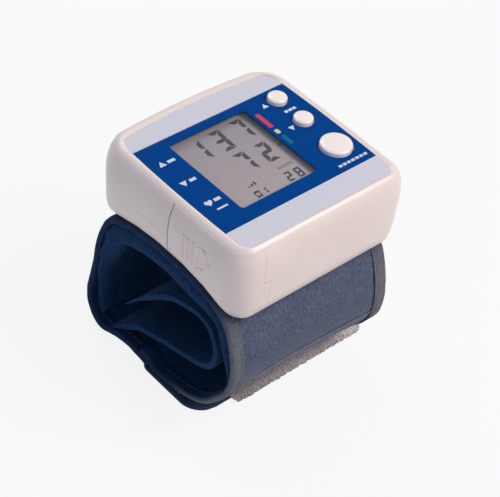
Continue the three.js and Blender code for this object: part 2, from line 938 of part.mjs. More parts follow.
// Motor shaft with the eccentric that drives the pump
function makePumpShaft() {
  const collarRight = pumpRight - fit;
  const collarLeft = collarRight - crankThickness;
  return join(
    rodAlongX(shaftRadius, collarLeft, motorX + shaftSeat, motorY, motorHeight, 16),
    rodAlongX(crankRadius, collarLeft, collarRight, motorY, motorHeight + crankThrow, 24)
  );
}

// Air ways
function makeManifold() {
  const half = manifoldWidth / 2;
  return block(
    manifoldX - half,
    manifoldX + half,
    manifoldFront,
    manifoldRear,
    manifoldBottom,
    manifoldTop
  );
}

function makeNipple() {
  const bottom = cuffTop - bladderOuter + fit;
  const tube = join(
    post(nippleRadius, manifoldX, nippleY, bottom, nippleTop, 20),
    post(nippleFlangeRadius, manifoldX, nippleY, nippleFlangeBottom, nippleTop, 24)
  );
  return cut(tube, post(nippleBore, manifoldX, nippleY, bottom - overrun, nippleTop + overrun, 16));
}

function makeHose(points) {
  const curve = new THREE.CatmullRomCurve3(points.map((p) => new THREE.Vector3(...p)));
  const circle = new THREE.Shape();
  circle.absarc(0, 0, hoseRadius, 0, Math.PI * 2);
  return new THREE.ExtrudeGeometry(circle, {
    steps: hoseSteps,
    curveSegments: hoseSides,
    extrudePath: curve,
  });
}

const airHeight = (manifoldBottom + manifoldTop) / 2;

function makePumpHose() {
  const start = pumpFront - fit;
  const end = manifoldRear + fit;
  return makeHose([
    [pumpPortX, start, airHeight],
    [pumpPortX, start - hoseStub / 2, airHeight],
    [manifoldX, end + hoseStub / 2, airHeight],
    [manifoldX, end, airHeight],
  ]);
}

const valveHeightMiddle = underBoard - valveHeight / 2;

function makeValveHose() {
  const start = manifoldFront - fit;
  const end = valveLeft - fit;
  return makeHose([
    [manifoldX, start, airHeight],
    [manifoldX, start - hoseStub, airHeight],
    [manifoldX + hoseStub / 2, valveY + hoseStub, (airHeight + valveHeightMiddle) / 2],
    [end - hoseStub, valveY, valveHeightMiddle],
    [end, valveY, valveHeightMiddle],
  ]);
}

function makeValve() {
  const half = valveWidth / 2;
  const right = valveLeft + valveLength;
  const bore = plungerLength - plungerShown + plungerTravel + fit;
  return cut(
    block(valveLeft, right, valveY - half, valveY + half, underBoard - valveHeight, underBoard),
    rodAlongX(plungerRadius + fit, right - bore, right + overrun, valveY, valveHeightMiddle, 16)
  );
}

function makePlunger() {
  const right = valveLeft + valveLength + plungerShown;
  return rodAlongX(plungerRadius, right - plungerLength, right, valveY, valveHeightMiddle, 16);
}

// Cuff layers
const fromShares = (table) =>
  new THREE.SplineCurve(
    table.map(([y, z]) => new THREE.Vector2(y * cuffHalfDepth, z * cuffTop))
  );
const cuffOutline = fromShares(cuffOutlineShares);
cuffOutline.arcLengthDivisions = 600;
const flapOutline = fromShares(flapOutlineShares);

// Point of a curve in the YZ plane, moved inwards by the given depth
function inside(curve, share, depth) {
  const tangent = curve.getTangentAt(share);
  return curve
    .getPointAt(share)
    .add(new THREE.Vector2(tangent.y, -tangent.x).multiplyScalar(depth));
}

// A layer between two depths along part of a curve, extruded along X
function layer(curve, [from, to], depth0, depth1, x0, x1, steps) {
  const outer = [];
  const inner = [];
  for (let i = 0; i <= steps; i += 1) {
    const share = from + (to - from) * (i / steps);
    outer.push(inside(curve, share, depth0));
    inner.push(inside(curve, share, depth1));
  }
  const shape = new THREE.Shape([...outer, ...inner.reverse()]);
  const strip = new THREE.ExtrudeGeometry(shape, { depth: x1 - x0, bevelEnabled: false });
  const alongX = new THREE.Matrix4().makeBasis(
    new THREE.Vector3(0, 1, 0),
    new THREE.Vector3(0, 0, 1),
    new THREE.Vector3(1, 0, 0)
  );
  return strip.applyMatrix4(alongX).translate(x0, 0, 0);
}

const stepsFor = ([from, to]) => Math.round(cuffSteps * (to - from));
const cuffLayer = (span, depth0, depth1, inset) =>
  layer(cuffOutline, span, depth0, depth1, cuffLeft + inset, cuffRight - inset, stepsFor(span));
const nippleHole = () =>
  post(nippleRadius + fit, manifoldX, nippleY, cuffTop - liningOuter, crownHeight);

function makeWrap() {
  const inset = bindingLeaf + bindingGap;
  return cut(
    cuffLayer(wrapSpanShares, wrapOuter, wrapInner, inset),
    nippleHole(),
    below(0)
  );
}

const makeCurler = () =>
  cut(cuffLayer(curlerSpanShares, curlerOuter, curlerInner, curlerInset), nippleHole());
const makeBladder = () =>
  cuffLayer(bladderSpanShares, bladderOuter, bladderInner, bladderInset);
const makeLining = () => cuffLayer(liningSpanShares, liningOuter, liningInner, liningInset);

// The strap is square at its sewn rear end and rounded in front
function makeStrap() {
  const rear = strapRear + strapCorner;
  return cut(
    roundedBlock(strapLeft, strapRight, strapFront, rear, strapCorner, 0, strapThickness),
    block(-reach, reach, strapRear, reach, -overrun, strapThickness + overrun)
  );
}

const makeHookTape = () =>
  roundedBlock(
    hookLeft,
    strapRight,
    hookFront,
    hookFront + hookDepth,
    hookCorner,
    hookBottom,
    hookBottom + hookThickness
  );

function makeFlap() {
  const half = flapThickness / 2;
  return layer(
    flapOutline,
    [0, 1],
    -half,
    half,
    cuffLeft + flapInset,
    cuffRight - flapInset,
    flapSteps
  );
}

// A tape folded over the edge of the wrap, at one end of the cuff
function makeBinding(edge, inwards) {
  const across = (x0, x1) => [edge + inwards * x0, edge + inwards * x1].sort((a, b) => a - b);
  const steps = stepsFor(wrapSpanShares);
  const depth = curlerOuter + bindingLeaf;
  const outer = layer(
    cuffOutline,
    wrapSpanShares,
    0,
    depth,
    ...across(0, bindingWidth),
    steps
  );
  const slot = layer(
    cuffOutline,
    [wrapSpanShares[0] / 2, 1],
    bindingLeaf,
    curlerOuter,
    ...across(bindingLeaf, bindingWidth + overrun),
    steps
  );
  return cut(outer, slot, below(0));
}

// The whole monitor
const monitor = new THREE.Group();
monitor.name = "wrist_monitor";

function addPiece(name, geometry, material) {
  const mesh = new THREE.Mesh(geometry, material);
  mesh.name = name;
  monitor.add(mesh);
}

addPiece("upper_case", makeUpperCase(), whiteAbs);
addPiece("lower_case", makeLowerCase(), whiteAbs);
addPiece("battery_cover", makeBatteryCover(), whiteAbs);
addPiece("face_plate", makeFacePlate(), silverPlate);
addPiece("control_panel", makeControlPanel(), bluePanel);
addPiece("display_window", grownWindow(lensLip, windowCorner, lensBottom, lensTop), clearLens);
buttonPlaces.forEach((place) => {
  addPiece(`${place.name}_button`, makeButton(place), keyAbs);
  addPiece(`${place.name}_switch`, makeSwitch(place), darkPlastic);
});
addPiece("lcd_glass", makeGlass(), displayGlass);
addPiece("lcd_frame", makeGlassFrame(), darkPlastic);
addPiece("lcd_contact_strip", makeContactStrip(), darkPlastic);
addPiece("main_board", makeBoard(), boardGreen);
addPiece("processor_chip", makeChip(), darkPlastic);
addPiece("pressure_sensor", makeSensor(), naturalPlastic);
addPiece("buzzer", makeBuzzer(), darkPlastic);
addPiece("cell_left", makeCell(leftCellX, false), cellCan);
addPiece("cell_right", makeCell(rightCellX, true), cellCan);
addPiece("cell_contact_left", makeRearContact(leftCellX), steel);
addPiece("cell_contact_right", makeRearContact(rightCellX), steel);
addPiece("cell_bridge", makeFrontBridge(), steel);
addPiece("pump_motor", makeMotor(), steel);
addPiece("pump_head", makePumpHead(), naturalPlastic);
addPiece("pump_shaft", makePumpShaft(), steel);
addPiece("air_manifold", makeManifold(), naturalPlastic);
addPiece("air_nipple", makeNipple(), naturalPlastic);
addPiece("pump_hose", makePumpHose(), siliconeTube);
addPiece("valve_hose", makeValveHose(), siliconeTube);
addPiece("release_valve", makeValve(), steel);
addPiece("valve_plunger", makePlunger(), steel);
screwPlaces.forEach((place) => addPiece(place.name, makeScrew(place), steel));
addPiece("cuff_wrap", makeWrap(), loopFabric);
addPiece("edge_binding_left", makeBinding(cuffLeft, 1), bindingTape);
addPiece("edge_binding_right", makeBinding(cuffRight, -1), bindingTape);
addPiece("cuff_curler", makeCurler(), naturalPlastic);
addPiece("air_bladder", makeBladder(), bladderFilm);
addPiece("cuff_lining", makeLining(), liningFabric);
addPiece("inner_flap", makeFlap(), liningFabric);
addPiece("closure_strap", makeStrap(), bindingTape);
addPiece("hook_tape", makeHookTape(), hookFabric);

export default monitor;
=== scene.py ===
import math

import bmesh
import bpy
import numpy as np
from mathutils import Matrix, Vector, noise


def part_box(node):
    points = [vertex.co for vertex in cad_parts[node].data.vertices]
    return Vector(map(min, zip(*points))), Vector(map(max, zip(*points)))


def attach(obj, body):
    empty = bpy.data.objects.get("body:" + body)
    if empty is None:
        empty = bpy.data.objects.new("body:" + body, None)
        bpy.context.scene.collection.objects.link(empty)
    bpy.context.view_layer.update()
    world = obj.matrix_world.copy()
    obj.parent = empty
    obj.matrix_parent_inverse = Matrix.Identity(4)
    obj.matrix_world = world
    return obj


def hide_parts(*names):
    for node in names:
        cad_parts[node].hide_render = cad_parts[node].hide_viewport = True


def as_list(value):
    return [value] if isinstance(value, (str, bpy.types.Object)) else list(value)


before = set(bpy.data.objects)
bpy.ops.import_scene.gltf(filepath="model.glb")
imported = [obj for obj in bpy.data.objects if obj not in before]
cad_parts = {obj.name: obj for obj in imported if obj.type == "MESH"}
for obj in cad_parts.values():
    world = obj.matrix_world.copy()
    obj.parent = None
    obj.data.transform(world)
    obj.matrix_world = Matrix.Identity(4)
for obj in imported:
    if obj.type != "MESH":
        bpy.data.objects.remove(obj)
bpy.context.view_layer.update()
mm = 0.001
scene = bpy.context.scene


# Camera, solved from the rectangle of the blue panel
cameraValues = {
    "place": (-277.5, -264.2, 398.0),
    "right": (0.7472, -0.6572, 0.0993),
    "up": (0.3996, 0.5636, 0.7232),
    "back": (-0.5310, -0.5005, 0.6835),
    "lens": 117.94,
}


def makeCamera(values):
    data = bpy.data.cameras.new("photoCamera")
    data.lens = values["lens"]
    data.sensor_width = 36
    data.clip_start, data.clip_end = 0.01, 10
    camera = bpy.data.objects.new("photoCamera", data)
    scene.collection.objects.link(camera)
    turn = Matrix((values["right"], values["up"], values["back"])).transposed()
    camera.matrix_world = Matrix.Translation(Vector(values["place"]) * mm) @ turn.to_4x4()
    scene.camera = camera


makeCamera(cameraValues)
print("camera set")


# Materials: colours are sRGB hex, pattern sizes are millimetres
def linear(hexColour):
    parts = [int(hexColour[i : i + 2], 16) / 255 for i in (1, 3, 5)]
    return (*[c / 12.92 if c <= 0.04045 else ((c + 0.055) / 1.055) ** 2.4 for c in parts], 1.0)


def addNode(tree, kind, settings=None, links=None):
    node = tree.nodes.new(kind)
    for key, value in (settings or {}).items():
        if isinstance(key, int) or key in node.inputs:
            node.inputs[key].default_value = value
        else:
            setattr(node, key, value)
    for key, source in (links or {}).items():
        tree.links.new(source, node.inputs[key])
    return node


def perMm(size):
    return 1 / (size * mm)  # texture scale for a pattern of this size


def bandsPerMm(size):
    return perMm(size) * math.pi / 10  # bands of scale 1 repeat every pi / 10


def startMaterial(name, colour, roughness, **shader):
    material = bpy.data.materials.new(name)
    material.use_nodes = True
    tree = material.node_tree
    surface = tree.nodes["Principled BSDF"]
    surface.inputs["Base Color"].default_value = linear(colour)
    surface.inputs["Roughness"].default_value = roughness
    for key, value in shader.items():
        surface.inputs[key.replace("_", " ")].default_value = value
    where = addNode(tree, "ShaderNodeTexCoord").outputs["Object"]
    return material, tree, surface, where


def finishSurface(tree, surface, height, depth, strength=1.0, tones=None, factor=None,
                  stops=(0.35, 0.65), inside=None):
    # two tones spread by a pattern, a third as painted shade where the piece's own tone says, and
    # a relief
    if tones:
        ramp = addNode(tree, "ShaderNodeValToRGB", links={"Fac": factor})
        ends = ramp.color_ramp.elements
        ends[0].position, ends[1].position = stops
        ends[0].color, ends[1].color = linear(tones[0]), linear(tones[1])
        colour = ramp.outputs["Color"]
        if inside:
            tone = addNode(tree, "ShaderNodeAttribute", {"attribute_name": "tone"})
            blend = addNode(tree, "ShaderNodeMix", {"data_type": "RGBA", 7: linear(inside)},
                            {0: tone.outputs["Fac"], 6: colour})
            colour = blend.outputs[2]
        tree.links.new(colour, surface.inputs["Base Color"])
    relief = addNode(tree, "ShaderNodeBump", {"Strength": strength, "Distance": depth * mm},
                     {"Height": height})
    tree.links.new(relief.outputs["Normal"], surface.inputs["Normal"])


def mouldedPlastic(name, dark, light, roughness, grain, depth):
    # injection moulded: an even satin skin with a faint cloudiness, 14 mm across
    material, tree, surface, where = startMaterial(name, light, roughness,
                                                   Specular_IOR_Level=0.85)
    clouds = addNode(tree, "ShaderNodeTexNoise", {"Scale": perMm(14), "Detail": 3},
                     {"Vector": where})
    skin = addNode(tree, "ShaderNodeTexNoise", {"Scale": perMm(grain)}, {"Vector": where})
    finishSurface(tree, surface, skin.outputs["Fac"], depth, tones=(dark, light),
                  factor=clouds.outputs["Fac"])
    return material


def printedFilm(name, dark, light, roughness, shine):
    # screen print under a matt film: flat colour with a hint of grain
    material, tree, surface, where = startMaterial(name, light, roughness,
                                                   Specular_IOR_Level=shine)
    ink = addNode(tree, "ShaderNodeTexNoise", {"Scale": perMm(0.5), "Detail": 3},
                  {"Vector": where})
    film = addNode(tree, "ShaderNodeTexNoise", {"Scale": perMm(0.35)}, {"Vector": where})
    finishSurface(tree, surface, film.outputs["Fac"], 0.004, tones=(dark, light),
                  factor=ink.outputs["Fac"])
    return material


def flatInk(name, colour):
    # printed marks: one dull colour with a very fine tooth
    material, tree, surface, where = startMaterial(name, colour, 0.5, Specular_IOR_Level=0.1)
    tooth = addNode(tree, "ShaderNodeTexNoise", {"Scale": perMm(0.2)}, {"Vector": where})
    finishSurface(tree, surface, tooth.outputs["Fac"], 0.003)
    return material


def brushedMetal(name, dark, light, roughness):
    # drawn or brushed metal: streaks along X in a grey mirror
    material, tree, surface, where = startMaterial(name, light, roughness, Metallic=1.0)
    stretched = addNode(tree, "ShaderNodeMapping", {"Scale": (0.08, 1, 1)}, {"Vector": where})
    grain = addNode(tree, "ShaderNodeTexNoise", {"Scale": perMm(0.3), "Detail": 3},
                    {"Vector": stretched.outputs["Vector"]}).outputs["Fac"]
    finishSurface(tree, surface, grain, 0.01, tones=(dark, light), factor=grain)
    return material


def clearAcrylic():
    # moulded window: clear and glossy, hardly wavy
    material, tree, surface, where = startMaterial("clearAcrylic", "#F4F7F8", 0.05, Alpha=0.04)
    waviness = addNode(tree, "ShaderNodeTexNoise", {"Scale": perMm(9)}, {"Vector": where})
    finishSurface(tree, surface, waviness.outputs["Fac"], 0.003)
    return material


def displayGlass():
    # grey reflective polariser with painted shade: a little lighter towards the front, darker
    # towards the rear
    material, tree, surface, where = startMaterial("displayGlass", "#A0979B", 0.4,
                                                   Specular_IOR_Level=0.2)
    split = addNode(tree, "ShaderNodeSeparateXYZ", links={"Vector": where})
    span = addNode(tree, "ShaderNodeMapRange", {"From Min": -0.017, "From Max": 0.02},
                   {"Value": split.outputs["Y"]})
    tooth = addNode(tree, "ShaderNodeTexNoise", {"Scale": perMm(0.3)}, {"Vector": where})
    finishSurface(tree, surface, tooth.outputs["Fac"], 0.003, tones=("#A69D9F", "#958D92"),
                  factor=span.outputs["Result"], stops=(0.0, 1.0))
    return material


def brushedLoop(name, dark, light, fibre, stretch, cloud):
    # loops combed along the cuff: short upright streaks, fuzz that is lit at grazing angles
    material, tree, surface, where = startMaterial(name, light, 0.95, Sheen_Weight=0.2,
                                                   Sheen_Roughness=0.4, Specular_IOR_Level=0.08)
    stretched = addNode(tree, "ShaderNodeMapping", {"Scale": stretch}, {"Vector": where})
    pile = addNode(tree, "ShaderNodeTexNoise",
                   {"Scale": perMm(fibre), "Detail": 4, "Roughness": 0.65},
                   {"Vector": stretched.outputs["Vector"]}).outputs["Fac"]
    patches = addNode(tree, "ShaderNodeTexNoise", {"Scale": perMm(6)}, {"Vector": where})
    mixed = addNode(tree, "ShaderNodeMath", {"operation": "MULTIPLY_ADD", 1: cloud},
                    {0: patches.outputs["Fac"], 2: pile})
    shifted = addNode(tree, "ShaderNodeMath", {"operation": "SUBTRACT", 1: cloud / 2},
                      {0: mixed.outputs[0]})
    finishSurface(tree, surface, pile, 0.3, 0.7, (dark, light), shifted.outputs[0], (0.33, 0.66))
    return material


def hookPile(name, dark, light, inside, rib):
    # moulded hooks in uneven rows: coarse tufts, pale on top, with painted shade dark in the
    # hollows between them
    material, tree, surface, where = startMaterial(name, light, 0.9, Specular_IOR_Level=0.1)
    rows = addNode(tree, "ShaderNodeTexWave",
                   {"wave_type": "BANDS", "bands_direction": "X", "Scale": bandsPerMm(rib),
                    "Distortion": 4.0, "Detail": 2.0, "Detail Scale": 1.5}, {"Vector": where})
    tufts = addNode(tree, "ShaderNodeTexNoise",
                    {"Scale": perMm(0.7), "Detail": 4, "Roughness": 0.7}, {"Vector": where})
    mixed = addNode(tree, "ShaderNodeMath", {"operation": "MULTIPLY_ADD", 1: 0.35},
                    {0: rows.outputs["Fac"], 2: tufts.outputs["Fac"]}).outputs[0]
    finishSurface(tree, surface, mixed, 0.3, 0.8, (dark, light), mixed, (0.42, 0.9), inside)
    return material


def wovenCloth(name, dark, light, thread, depth, sheen, glow="#8FA6C8", inside=None):
    # fine diagonal ribs under short fuzz; where a tape folds in, painted shade darkens its tone
    material, tree, surface, where = startMaterial(name, light, 0.9, Sheen_Weight=sheen,
                                                   Sheen_Roughness=0.45, Specular_IOR_Level=0.04,
                                                   Sheen_Tint=linear(glow))
    weave = addNode(tree, "ShaderNodeTexWave",
                    {"wave_type": "BANDS", "bands_direction": "DIAGONAL",
                     "Scale": bandsPerMm(thread), "Distortion": 2.5, "Detail": 2.0},
                    {"Vector": where})
    fuzz = addNode(tree, "ShaderNodeTexNoise",
                   {"Scale": perMm(2.5 * thread), "Detail": 4, "Roughness": 0.6},
                   {"Vector": where})
    mixed = addNode(tree, "ShaderNodeMath", {"operation": "MULTIPLY_ADD", 1: 0.22},
                    {0: weave.outputs["Fac"], 2: fuzz.outputs["Fac"]}).outputs[0]
    finishSurface(tree, surface, mixed, depth, 0.7, (dark, light), mixed, (0.35, 0.85), inside)
    return material


paints = {
    # housing: name, two tones, roughness, then grain and its depth in mm, or shine
    "caseAbs": mouldedPlastic("satinWhiteAbs", "#EBDCD5", "#EFE1DA", 0.37, 0.35, 0.006),
    "keyAbs": mouldedPlastic("glossWhiteAbs", "#F8ECE8", "#FBF1ED", 0.28, 0.6, 0.002),
    "plate": printedFilm("paleSilverPrint", "#CFD0DB", "#D5D6E0", 0.45, 0.3),
    "panel": printedFilm("deepBluePrint", "#003D86", "#00468E", 0.6, 0.03),
    "lens": clearAcrylic(),
    "display": displayGlass(),
    # marks: name and tone
    "displayInk": flatInk("liquidCrystalBlack", "#2A2634"),
    "faintInk": flatInk("liquidCrystalGrey", "#6E686E"),
    "whiteInk": flatInk("whitePrint", "#D5DCEC"),
    "redInk": flatInk("redPrint", "#D0455A"),
    "yellowInk": flatInk("paleYellowPrint", "#CFD39A"),
    "tealInk": flatInk("tealPrint", "#006C86"),
    # inner parts
    "blackPlastic": mouldedPlastic("blackNylon", "#2E3034", "#3A3C40", 0.55, 0.4, 0.01),
    "natural": mouldedPlastic("naturalAcetal", "#D2CEC2", "#DCD8CC", 0.5, 0.5, 0.01),
    "board": printedFilm("greenSolderMask", "#18502F", "#1E5E38", 0.4, 0.4),
    "steel": brushedMetal("platedSteel", "#A4A6A8", "#C2C4C6", 0.32),
    "cell": brushedMetal("printedCellJacket", "#7E8388", "#989DA2", 0.38),
    "silicone": mouldedPlastic("siliconeRubber", "#C0C4C8", "#CED2D6", 0.45, 0.5, 0.01),
    "film": mouldedPlastic("weldedPolyurethane", "#444E5C", "#505A68", 0.5, 0.8, 0.03),
    # cuff: name, two tones, rib and depth in mm, sheen and its glow, the tone of its painted
    # shade;
    # the ribs are drawn a little coarser than real threads, so that they show
    "loop": brushedLoop("brushedNylonLoop", "#384055", "#6A748D", 0.55, (2.2, 0.45, 0.45), 0.1),
    "lining": wovenCloth("smoothNylonKnit", "#112746", "#27466A", 0.45, 0.03, 0.1, "#7C98C4"),
    # the binding is painted navy as shade where it turns in and away from the light, and greyer
    # only low in front, where it is lit
    "binding": wovenCloth("nylonBindingTape", "#5B5D65", "#7B7D86", 0.4, 0.06, 0.05, "#A8B4C8",
                          "#1A3152"),
    # the hook tape's third tone is painted shade, laid darker towards its left end
    "hook": hookPile("nylonHookTape", "#9A9092", "#EEE3E0", "#4C505C", 0.9),
    # the hem is painted lighter than the loop fabric, a painted highlight along the fold
    "hem": wovenCloth("foldedLoopHemPaintedHighlight", "#5E6578", "#7E8699", 0.6, 0.08, 0.03),
    "thread": wovenCloth("polyesterThread", "#6A6F7A", "#8E939E", 0.3, 0.05, 0.05),
    "navyThread": wovenCloth("navyPolyesterThread", "#3A4656", "#5A6676", 0.3, 0.05, 0.1),
}
print("materials made")


def newPiece(name, mesh, material, body, slotName):
    piece = bpy.data.objects.new(name, mesh)
    scene.collection.objects.link(piece)
    piece.data.materials.append(paints[material])
    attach(piece, body)
    return piece


def toMesh(bm, name, smooth=True):
    mesh = bpy.data.meshes.new(name)
    bm.normal_update()
    bm.to_mesh(mesh)
    bm.free()
    for polygon in mesh.polygons:
        polygon.use_smooth = smooth
    return mesh


# Moulded parts: a merged copy of each, with soft edges and smooth faces
# node: name, material, body, slot, how wide its edges are rounded
housingParts = {
    "upper_case": ("upperShell", "caseAbs", "monitor", "white_abs", 0.12),
    "lower_case": ("lowerShell", "caseAbs", "monitor", "white_abs", 0.08),
    "battery_cover": ("batteryDoor", "caseAbs", "battery_cover", "white_abs", 0.08),
    "face_plate": ("silverPlate", "plate", "monitor", "silver_plate", 0.08),
    "control_panel": ("bluePanel", "panel", "monitor", "blue_panel", 0.05),
    "start_stop_button": ("startKeyCap", "keyAbs", "start_stop_button", "key_abs", 0.15),
    "memory_up_button": ("memoryUpKeyCap", "keyAbs", "memory_up_button", "key_abs", 0.15),
    "memory_down_button": ("memoryDownKeyCap", "keyAbs", "memory_down_button", "key_abs", 0.15),
}
mouldedEdges = {"merge": 0.002, "near": 0.01, "sharp": 28}


# Faces that meet at a parting line close up to a hairline: axis, where it is, how far it goes
doorSeam = {"right": 1.25, "forward": 1.25}  # the door's own seams sit this much further on
hairlines = {
    "upper_case": [(2, 64.625, -0.11), (0, -26.25, doorSeam["right"]),
                   (0, -23.25, doorSeam["right"]), (1, -0.55, -doorSeam["forward"])],
    "lower_case": [(2, 64.375, 0.11), (0, -23.25, doorSeam["right"]),
                   (1, -0.55, -doorSeam["forward"])],
    "battery_cover": [(0, -26.5, 0.17 + doorSeam["right"]), (0, -23.5, 0.17 + doorSeam["right"]),
                      (1, -0.8, 0.12 - doorSeam["forward"]), (2, 76.8, 0.23)],
}
doorRibs = {"from": (-24.0, -14.4, -6.3, -1.2), "to": (-24.0, -15.9, -8.4, -1.2),
            "skin": -33.0, "side": -35.705, "prouder": 1.1}
growths = {"face_plate": (0.008, 0.008), "control_panel": (0.008, 0.0085)}
growingRim = {"side": 26, "front": -20, "rear": 21}  # what lies further out grows by that share


def closeSeams(bm, node):
    for axis, at, shift in hairlines.get(node, []):
        for vertex in bm.verts:
            if abs(vertex.co[axis] - at * mm) < mouldedEdges["near"] * mm:
                vertex.co[axis] += shift * mm
    if node in growths:
        wide, deep = growths[node]
        rim = [v for v in bm.verts if abs(v.co.x) > growingRim["side"] * mm
               or v.co.y < growingRim["front"] * mm or v.co.y > growingRim["rear"] * mm]
        bmesh.ops.scale(bm, vec=(1 + wide, 1 + deep, 1), verts=rim)


def shapeRibs(bm, values):  # the finger ribs sit closer together, further forward and prouder
    for vertex in bm.verts:
        x, y = vertex.co.x / mm, vertex.co.y / mm
        if x < values["skin"] and values["from"][0] < y < values["from"][-1]:
            vertex.co.y = float(np.interp(y, values["from"], values["to"])) * mm
        if x < values["side"]:
            vertex.co.x = (values["side"] + (x - values["side"]) * values["prouder"]) * mm


def dressMoulded(node, name, material, body, slotName, edge):
    sharp = math.radians(mouldedEdges["sharp"])
    bm = bmesh.new()
    bm.from_mesh(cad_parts[node].data)
    bmesh.ops.remove_doubles(bm, verts=bm.verts, dist=mouldedEdges["merge"] * mm)
    closeSeams(bm, node)
    if node == "battery_cover":
        shapeRibs(bm, doorRibs)
    bm.normal_update()
    for line in bm.edges:
        line.smooth = len(line.link_faces) == 2 and line.calc_face_angle(0) < sharp
    piece = newPiece(name, toMesh(bm, name), material, body, slotName)
    soften = piece.modifiers.new("softEdges", "BEVEL")
    soften.width, soften.segments = edge * mm, 2
    soften.limit_method, soften.angle_limit = "ANGLE", sharp
    soften.harden_normals = True
    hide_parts(node)


for node, values in housingParts.items():
    dressMoulded(node, *values)
print("housing dressed")


# Other rigid parts keep their own mesh and take a finish
nodeFinish = {
    "lens": ["display_window"],
    "display": ["lcd_glass"],
    "blackPlastic": ["lcd_frame", "lcd_contact_strip", "processor_chip", "buzzer",
                     "start_stop_switch", "memory_up_switch", "memory_down_switch"],
    "board": ["main_board"],
    "natural": ["pressure_sensor", "pump_head", "air_manifold", "air_nipple", "cuff_curler"],
    "cell": ["cell_left", "cell_right"],
    "steel": ["cell_contact_left", "cell_contact_right", "cell_bridge", "pump_motor",
              "pump_shaft", "release_valve", "valve_plunger", "screw_rear_left",
              "screw_rear_right", "screw_front_right", "screw_front_middle"],
    "silicone": ["pump_hose", "valve_hose"],
}
for finish, nodes in nodeFinish.items():
    for node in nodes:
        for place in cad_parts[node].material_slots:
            place.material = paints[finish]
print("inner parts finished")


# Prints and display marks: thin flat shapes, placed from the panel's left front corner
panelCorner = {"left": -30.0, "front": -20.8}


def onPanel(points):
    return [(x + panelCorner["left"], y + panelCorner["front"]) for x, y in points]


def flatShapes(name, outlines, z, thickness, material, slotName):
    bm = bmesh.new()
    for outline in outlines:
        corners = [bm.verts.new((x * mm, y * mm, z * mm)) for x, y in outline]
        face = bm.faces.new(corners)
        raised = bmesh.ops.extrude_face_region(bm, geom=[face])
        moved = [v for v in raised["geom"] if isinstance(v, bmesh.types.BMVert)]
        bmesh.ops.translate(bm, verts=moved, vec=(0, 0, thickness * mm))
    bmesh.ops.recalc_face_normals(bm, faces=bm.faces)
    return newPiece(name, toMesh(bm, name, smooth=False), material, "monitor", slotName)


display = {
    "height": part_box("lcd_glass")[1][2] / mm + 0.01, "ink": 0.03, "slant": 0.05,
    "stroke": 1.5, "gap": 0.2, "smallStroke": 0.72, "smallGap": 0.06,
    "digits": [  # digit, left, front, width, height
        ("1", 16.3, 29.0, 4.5, 9.4), ("3", 24.8, 29.0, 4.7, 9.7), ("7", 33.9, 29.5, 4.5, 9.6),
        ("7", 24.6, 17.4, 4.5, 9.1), ("2", 33.1, 17.5, 4.6, 8.9),
    ],
    "smallDigits": [
        ("0", 19.3, 7.3, 2.1, 2.9), ("1", 21.8, 7.3, 2.1, 2.9),
        ("2", 32.3, 7.3, 2.4, 4.2), ("8", 36.2, 7.1, 2.4, 4.3),
    ],
    "memoryMark": (3, 20.0, 0.7, 1.2, 12.4, 12.9, 0.5),  # a row of bars, as barRow takes it
    "heart": (41.2, 22.4, 1.7),
    "unitStrokes": (7, 33.2, 0.4, 0.85, 13.4, 14.6),
}
litSegments = {"0": "abcdef", "1": "bc", "2": "abged", "3": "abgcd", "7": "abc", "8": "abcdefg"}


def digitOutlines(digit, left, front, width, height, stroke, slant, gap):  # mitred segments
    middle, half = height / 2, stroke / 2
    ends = {
        "a": [(gap, height), (width - gap, height), (width - stroke - gap, height - stroke),
              (stroke + gap, height - stroke)],
        "b": [(width, height - gap), (width, middle + gap), (width - stroke, middle + half + gap),
              (width - stroke, height - stroke - gap)],
        "f": [(0, height - gap), (0, middle + gap), (stroke, middle + half + gap),
              (stroke, height - stroke - gap)],
        "g": [(gap, middle), (half + gap, middle + half), (width - half - gap, middle + half),
              (width - gap, middle), (width - half - gap, middle - half),
              (half + gap, middle - half)],
    }
    for upper, lower in (("a", "d"), ("b", "c"), ("f", "e")):
        ends[lower] = [(x, height - y) for x, y in ends[upper]]
    return [onPanel([(left + x + slant * y, front + y) for x, y in ends[segment]])
            for segment in litSegments[digit]]


def rectangle(x0, x1, y0, y1):
    return onPanel([(x0, y0), (x1, y0), (x1, y1), (x0, y1)])


def barRow(count, left, width, pitch, front, rear, growth=0.0):
    return [rectangle(left + pitch * i, left + pitch * i + width, front, rear + growth * i)
            for i in range(count)]


def triangle(x, y, radius, way):  # way is 1 to point to the rear, -1 to the front
    angles = [way * math.pi / 2 + 2 * math.pi * i / 3 for i in range(3)]
    return onPanel([(x + radius * math.cos(a), y + radius * math.sin(a)) for a in angles])


def heart(x, y, size):
    points = []
    for i in range(28):
        t = 2 * math.pi * i / 28
        across = 16 * math.sin(t) ** 3
        along = 13 * math.cos(t) - 5 * math.cos(2 * t) - 2 * math.cos(3 * t) - math.cos(4 * t)
        points.append((x + across * size / 32, y + along * size / 32))
    return onPanel(points[::-1])


def makeDisplayMarks(values):
    z, ink = values["height"], values["ink"]
    shapes = []
    for digit in values["digits"]:
        shapes += digitOutlines(*digit, values["stroke"], values["slant"], values["gap"])
    for digit in values["smallDigits"]:
        shapes += digitOutlines(*digit, values["smallStroke"], values["slant"],
                                values["smallGap"])
    shapes += barRow(*values["memoryMark"])
    flatShapes("displayMarks", shapes, z, ink, "displayInk", slotName="display_glass")
    faint = [heart(*values["heart"]), *barRow(*values["unitStrokes"])]
    flatShapes("faintMarks", faint, z, ink, "faintInk", slotName="display_glass")


makeDisplayMarks(display)


